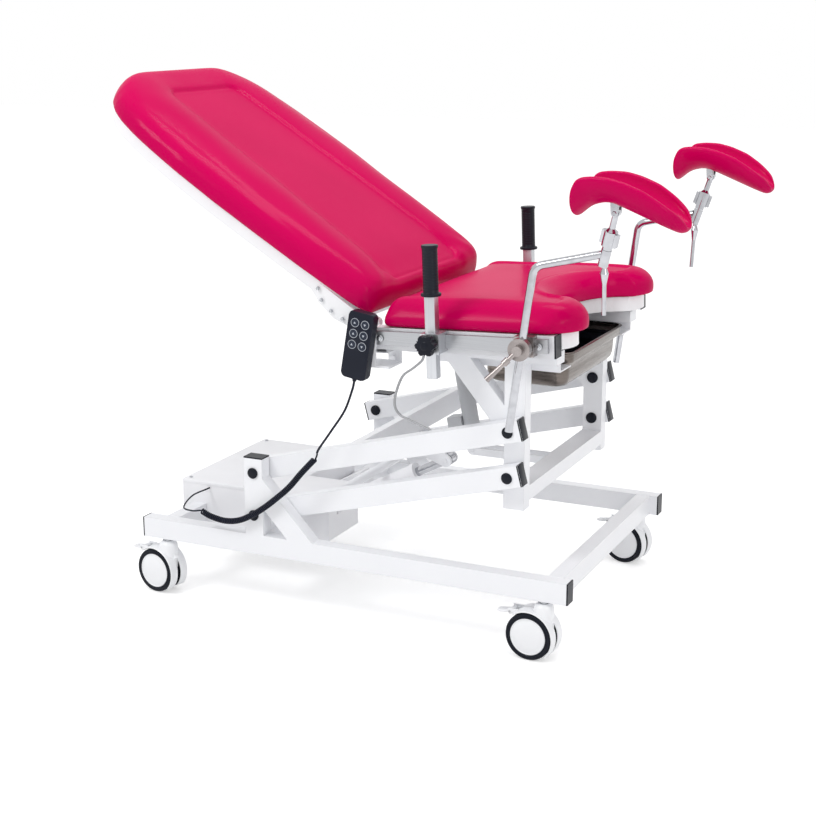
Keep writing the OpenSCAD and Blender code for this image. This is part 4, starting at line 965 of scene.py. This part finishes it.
# ---- black plugs and caps ----
dome = spare(Stock().lathe([(0, 3.2), (4, 3.0), (8, 2.3), (11, 1.1), (12, 0), (0, 0)], Matrix(), 32), "plug_item")
posts = [((POST_X, s * (RAIL_Y + 2.8), z), (0, s, 0)) for s in (-1, 1) for z in (PIVOT_Z, PIVOT_Z - ARM_GAP)]
repeated("post_plugs", dome, posts, CAP, "base")
inner = spare(Stock().lathe([(0, 3.2), (4, 3.0), (8, 2.3), (11, 1.3), (12.6, 0), (12.6, -3), (0, -3)],
                            Matrix(), 32), "inner_plug_item")
table_tips = []
for body, z in (("upper_arms", PIVOT_Z), ("lower_arms", PIVOT_Z - ARM_GAP)):
    place = arm_frame(z)
    roots = [(place @ Vector((0, s * (ARM_Y - TUBE_B - 3.1), 0)), (0, -s, 0)) for s in (-1, 1)]
    repeated(body + "_inner_plugs", inner, roots, CAP, body)
    table_tips += [(place @ Vector((ARM_LEN, s * (POST_IN - 3.1), 0)), (0, -s, 0)) for s in (-1, 1)]
    tips = [(place @ Vector((ARM_LEN, s * (ARM_Y + 2.3), 0)), (0, s, 0)) for s in (-1, 1)]
    repeated(body + "_plugs", dome, tips, CAP, body)
    ends = Stock()
    for s in (-1, 1):
        y0, y1 = sorted((s * (ARM_Y + 0.3), s * (ARM_Y - TUBE_B - 0.3)))
        for x0, x1 in ((-ARM_OVER - 3.4, -ARM_OVER + 0.6), (ARM_LEN + ARM_OVER - 0.6, ARM_LEN + ARM_OVER + 3.4)):
            ends.block((x0, y0, -TUBE_H / 2 - 0.3), (x1, y1, TUBE_H / 2 + 0.3), 1.4, place)
    ends.piece(body + "_caps", CAP, body, "black")

repeated("table_inner_plugs", inner, table_tips, CAP, "table")

# ---- hand grips ----
GRIP_Y, GRIP_SQ, GRIP_TOP = 332.5, 22, 266 - 172
for tag, x, mirror in (("n", FOOT - 291, Matrix()), ("f", FOOT - 340, FLIP)):
    at = SEAT @ mirror @ move(x, -GRIP_Y, RAIL_CZ)
    bar = Stock().block((-11, -11, -72), (11, 11, GRIP_TOP + 6), 1.6, at, 3)
    bar.piece("grip_bar_" + tag, BAR, "grip_post_" + tag, "steel", ["grip_post_" + tag])
    rubber = Stock()
    profile = [(0, 0), (19.5, 0), (20.5, 1), (20.5, 4.6), (19.5, 5.8), (16.4, 6.4), (15.5, 8)]
    for k in range(14):
        z = 12 + k * 5.7
        profile += [(15.5, z), (15.1, z + 0.8), (15.5, z + 1.6)]
    profile += [(15.5, 94), (16.6, 95.5), (17, 97), (17, 99.6), (16, 101), (0, 101.4)]
    rubber.lathe(profile, at @ move(0, 0, GRIP_TOP), 48)
    rubber.piece("grip_rubber_" + tag, GRIP, "grip_post_" + tag, "rubber")
    knob = Stock()
    star = [((19.2 + 3.2 * math.cos(6 * a)) * math.cos(a), (19.2 + 3.2 * math.cos(6 * a)) * math.sin(a))
            for a in np.arange(96) * 2 * math.pi / 96]
    face = SEAT @ mirror @ move(x, -GRIP_Y - GRIP_SQ / 2 - 5, RAIL_CZ) @ turn(90, "X")
    knob.plate(star, 7, 24.6, 3.2, face, 4)
    knob.lathe([(0, 26), (6, 25.8), (9.4, 24.6), (10, 24), (10, 20), (0, 20)], face, 32)
    knob.lathe([(0, 1), (9, 1), (9.6, 2), (10.5, 7.5), (0, 8)], face, 32)
    knob.lathe([(0, -3), (5, -3), (5, 2), (0, 2)], face, 24)
    knob.piece("star_knob_" + tag, CAP, "grip_knob_" + tag, "black", ["grip_knob_" + tag])

# ---- hand control ----
KEYS = [(-11.5, 47), (11.5, 47), (-11.5, 24), (11.5, 24), (-11.5, 1), (11.5, 1)]


def rounded(w, h, r, steps=6):
    """Rounded rectangle about its middle."""
    line = []
    for cx, cy, a in ((w - r, h - r, 0), (r - w, h - r, 90), (r - w, r - h, 180), (w - r, r - h, 270)):
        line += [(cx + r * math.cos(math.radians(a + 90 * k / steps)),
                  cy + r * math.sin(math.radians(a + 90 * k / steps))) for k in range(steps + 1)]
    return line


front = HANDSET @ turn(90, "X")
case = Stock()
case.plate(rounded(28, 70, 8), -12, 11.4, 3.0, front, 4)
case.plate(rounded(22, 35, 7), 10.8, 12.0, 0.6, front @ move(0, 24, 0), 2)
case.lathe([(0, 8), (9.5, 8), (9, 3), (7.2, 0), (7.2, -1.2), (5.6, -2), (5.6, -3.2), (4.6, -4), (4.3, -6), (3.6, -8),
            (0, -8)], HANDSET @ move(0, 0, -70), 32)
case.piece("hand_control_case", CASE, "handset", "black", ["handset"])
rings = Stock()
for x, z in KEYS:
    rings.lathe([(8.1, 11.8), (8.3, 12.7), (9.1, 12.7), (9.3, 11.8)], front @ move(x, z, 0), 40)
rings.piece("key_rings", MARK, "handset", "grey")
for i, (x, z) in enumerate(KEYS):
    cap = Stock().lathe([(0, 13.6), (4, 13.5), (6.6, 13.1), (7.3, 12.4), (7.5, 11), (7.5, 9), (0, 9)],
                        front @ move(x, z, 0), 36)
    cap.piece("key_cap_%d" % (i + 1), KEY, "key_%d" % (i + 1), "key", ["key_%d" % (i + 1)])
    arrow = Stock()
    up = 1 if i % 2 == 0 else -1
    arrow.plate([(-2.6, -1.8 * up), (0, 2.8 * up), (2.6, -1.8 * up)][::up], 13.3, 13.75, 0, front @ move(x, z, 0))
    arrow.piece("key_arrow_%d" % (i + 1), MARK, "key_%d" % (i + 1), "grey")


# ---- basin ----
BASIN_X, BASIN_HX, BASIN_HY, BASIN_TOP, BASIN_R = FOOT - 58 - 102.5, 102.5, 173, 604, 24


def basin_ring(d, z, slack=0.0):
    """Ring of the basin's wall at height z, grown by d from its rim and drawn in by the slack."""
    r = max(9, BASIN_R + min(0, d) * 0.2 + max(0, d))
    return [(BASIN_X + x, y, z) for x, y in rounded(BASIN_HX + d - slack, BASIN_HY + d * 0.9 - slack, r, 7)]


def tub(name, rows, gap, finish, slot, replaces=()):
    """Closed wall through a cycle of rings; the two rings beside the gap are closed by floors."""
    n, m = len(rows), len(rows[0])
    faces = [(i * m + j, i * m + (j + 1) % m, (i + 1) % n * m + (j + 1) % m, (i + 1) % n * m + j)
             for i in range(n) if i != gap for j in range(m)]
    after = (gap + 1) % n * m
    faces += [tuple(range(gap * m, (gap + 1) * m)), tuple(range(after, after + m))[::-1]]
    Stock().solid([p for row in rows for p in row], faces).piece(name, finish, "basin", slot, replaces, sharp=50)


def basin():
    top = BASIN_TOP
    wall = [(3, top), (5, top - 1.4), (3, top - 3), (0, top - 4), (0, 584), (-1.5, 581), (-8, 580.4), (-11, 578),
            (-12, 560), (-13, 546), (-16, 536), (-22, 529), (-32, 525), (-44, 524)]
    inner = [(d - 1.4, z + (1.4 if z < 590 else 0)) for d, z in reversed(wall[3:])] + [(-1.6, top - 0.2)]
    tub("basin_pan", [basin_ring(d, z) for d, z in wall + inner], len(wall) - 1, STAINLESS, "steel", ["basin"])
    # painted shade: a dark sheet stands just inside the wall, a little over the floor, to darken the basin's inside
    # where it lies in shadow
    snug = [basin_ring(d, z + (0.4 if z < 530 else 0), 0.4) for d, z in inner[:-2]]
    thin = [[(BASIN_X + (x - BASIN_X) * 0.995, y * 0.997, z + (0.8 if z < 530 else 0)) for x, y, z in row]
            for row in snug]
    tub("basin_lining", snug + thin[::-1], 2 * len(snug) - 1, PAINTED_SHADE_STEEL, "black")


basin()

# ---- screws and beads ----
screw = Stock().plate(fan(4.6, range(0, 360, 60)), 0.8, 4.4, 0.5)
screw.lathe([(0, 0), (7, 0), (7, 0.8), (5.6, 1.2), (0, 1.2)], Matrix(), 24)
screw = spare(screw, "screw_item", ZINC)
rail_screws = [(SEAT @ Vector((x, s * (ACC_Y + 2.4), RAIL_CZ)), (0, s, 0))
               for s in (-1, 1) for x in (ACC_HX + 18, ACC_FX - 18)]
repeated("rail_screws", screw, rail_screws, ZINC, "seat")
cap_screw = spare(Stock().lathe([(0, 2.4), (2.4, 2.4), (2.6, 1.6), (4, 2.2), (4.4, 0), (0, 0)], Matrix(), 20),
                  "cap_screw_item", ZINC)
pan_screws = []
for s in (-1, 1):
    for x, z in ((-52, -20), (-82, -22), (-112, -16)):
        pan_screws.append((BACK @ Vector((x, s * 299, z)), BACK.to_3x3() @ Vector((0, s, 0))))
    pan_screws.append((BACK @ Vector((-131, s * 300, 0)), BACK.to_3x3() @ Vector((0, s, 0))))
repeated("back_screws", cap_screw, pan_screws, ZINC, "back")

welds = []
for s in (-1, 1):
    inner = s * (RAIL_Y - TUBE_B)
    for c in (50, 731, 960):
        x0, x1 = FOOT - c, FOOT - c + TUBE_B
        welds += [[(x, inner, BASE_Z + 2), (x, inner, RAIL_TOP - 1)] for x in (x0, x1)]
        welds.append([(x0, inner, RAIL_TOP - 0.6), (x1, inner, RAIL_TOP - 0.6)])
    for x in (POST_X - TUBE_H / 2, POST_X + TUBE_H / 2):
        welds.append([(x, s * (RAIL_Y - 1), RAIL_TOP), (x, inner + s, RAIL_TOP)])
beads("base_welds", welds, 1.3, 0.35, 1.6, WHITE, "base")

# ---- control box ----
lid = Stock()
lid.block((FOOT - 991, -189, 216), (FOOT - 734, 186, 226.5), 3.0, Matrix(), 3)
lid.block((FOOT - 736, -189, 216), (FOOT - 607, -45, 226.2), 3.0, Matrix(), 3)
lid.piece("box_lid", BOX_WHITE, "base", "white")
LID_SCREWS = [(975, -175, 226.4), (975, 170, 226.4), (750, 170, 226.4), (625, -175, 226.2)]
repeated("lid_screws", cap_screw, [((FOOT - c, y, z), (0, 0, 1)) for c, y, z in LID_SCREWS], ZINC, "base")


# ---- floor, lamps and world ----
def floor():
    mesh = bpy.data.meshes.new("floor")
    mesh.from_pydata([(-14, -14, 0), (14, -14, 0), (14, 14, 0), (-14, 14, 0)], [], [(0, 1, 2, 3)])
    obj = bpy.data.objects.new("floor", mesh)
    scene.collection.objects.link(obj)
    pale = Finish("floor", (0.86, 0.86, 0.86), 0.7)
    seen = pale.node("ShaderNodeLightPath", out="Is Camera Ray")
    glossy = pale.node("ShaderNodeLightPath", out="Is Glossy Ray")
    through = pale.node("ShaderNodeLightPath", out="Is Transmission Ray")
    speck = pale.noise(40, 2)
    pale.set(Base_Color=pale.mix(speck, (0.86, 0.86, 0.86), (0.85, 0.85, 0.855)), Emission_Strength=0.44)
    pale.set(Emission_Color=pale.mix(seen + glossy + through, (0, 0, 0), (1, 1, 1)))
    mesh.materials.append(pale.material)


def lamp(name, place, aim, size, watts):
    data = bpy.data.lights.new(name, "AREA")
    data.shape, data.size, data.size_y, data.energy = "RECTANGLE", size[0], size[1], watts
    obj = bpy.data.objects.new(name, data)
    obj.location = place
    obj.rotation_euler = (Vector(aim) - Vector(place)).to_track_quat("-Z", "Y").to_euler()
    scene.collection.objects.link(obj)


def sky(strength):
    world = bpy.data.worlds.new("studio")
    scene.world = world
    world.use_nodes = True
    tree = world.node_tree
    tree.nodes.clear()
    rays = tree.nodes.new("ShaderNodeLightPath")
    soft, clear = tree.nodes.new("ShaderNodeBackground"), tree.nodes.new("ShaderNodeBackground")
    soft.inputs["Color"].default_value, soft.inputs["Strength"].default_value = (1, 1, 1, 1), strength
    clear.inputs["Color"].default_value, clear.inputs["Strength"].default_value = (1, 1, 1, 1), 1.0
    seen = Wire(tree, rays.outputs["Is Camera Ray"]) + Wire(tree, rays.outputs["Is Glossy Ray"])
    seen = seen + Wire(tree, rays.outputs["Is Transmission Ray"])
    mix, out = tree.nodes.new("ShaderNodeMixShader"), tree.nodes.new("ShaderNodeOutputWorld")
    tree.links.new(seen.socket, mix.inputs[0])
    tree.links.new(soft.outputs[0], mix.inputs[1])
    tree.links.new(clear.outputs[0], mix.inputs[2])
    tree.links.new(mix.outputs[0], out.inputs[0])


floor()
sky(0.68)
lamp("key_light", (-1.6, -2.6, 3.4), (0, 0, 0.5), (1.2, 1.2), 52)
lamp("fill_light", (2.8, -1.6, 2.2), (0.1, 0, 0.6), (1.0, 1.4), 16)
lamp("top_light", (0.2, 0.6, 3.6), (0, 0, 0.4), (1.6, 1.0), 30)
scene.view_settings.view_transform = "Standard"

for obj in items:
    bpy.data.objects.remove(obj)
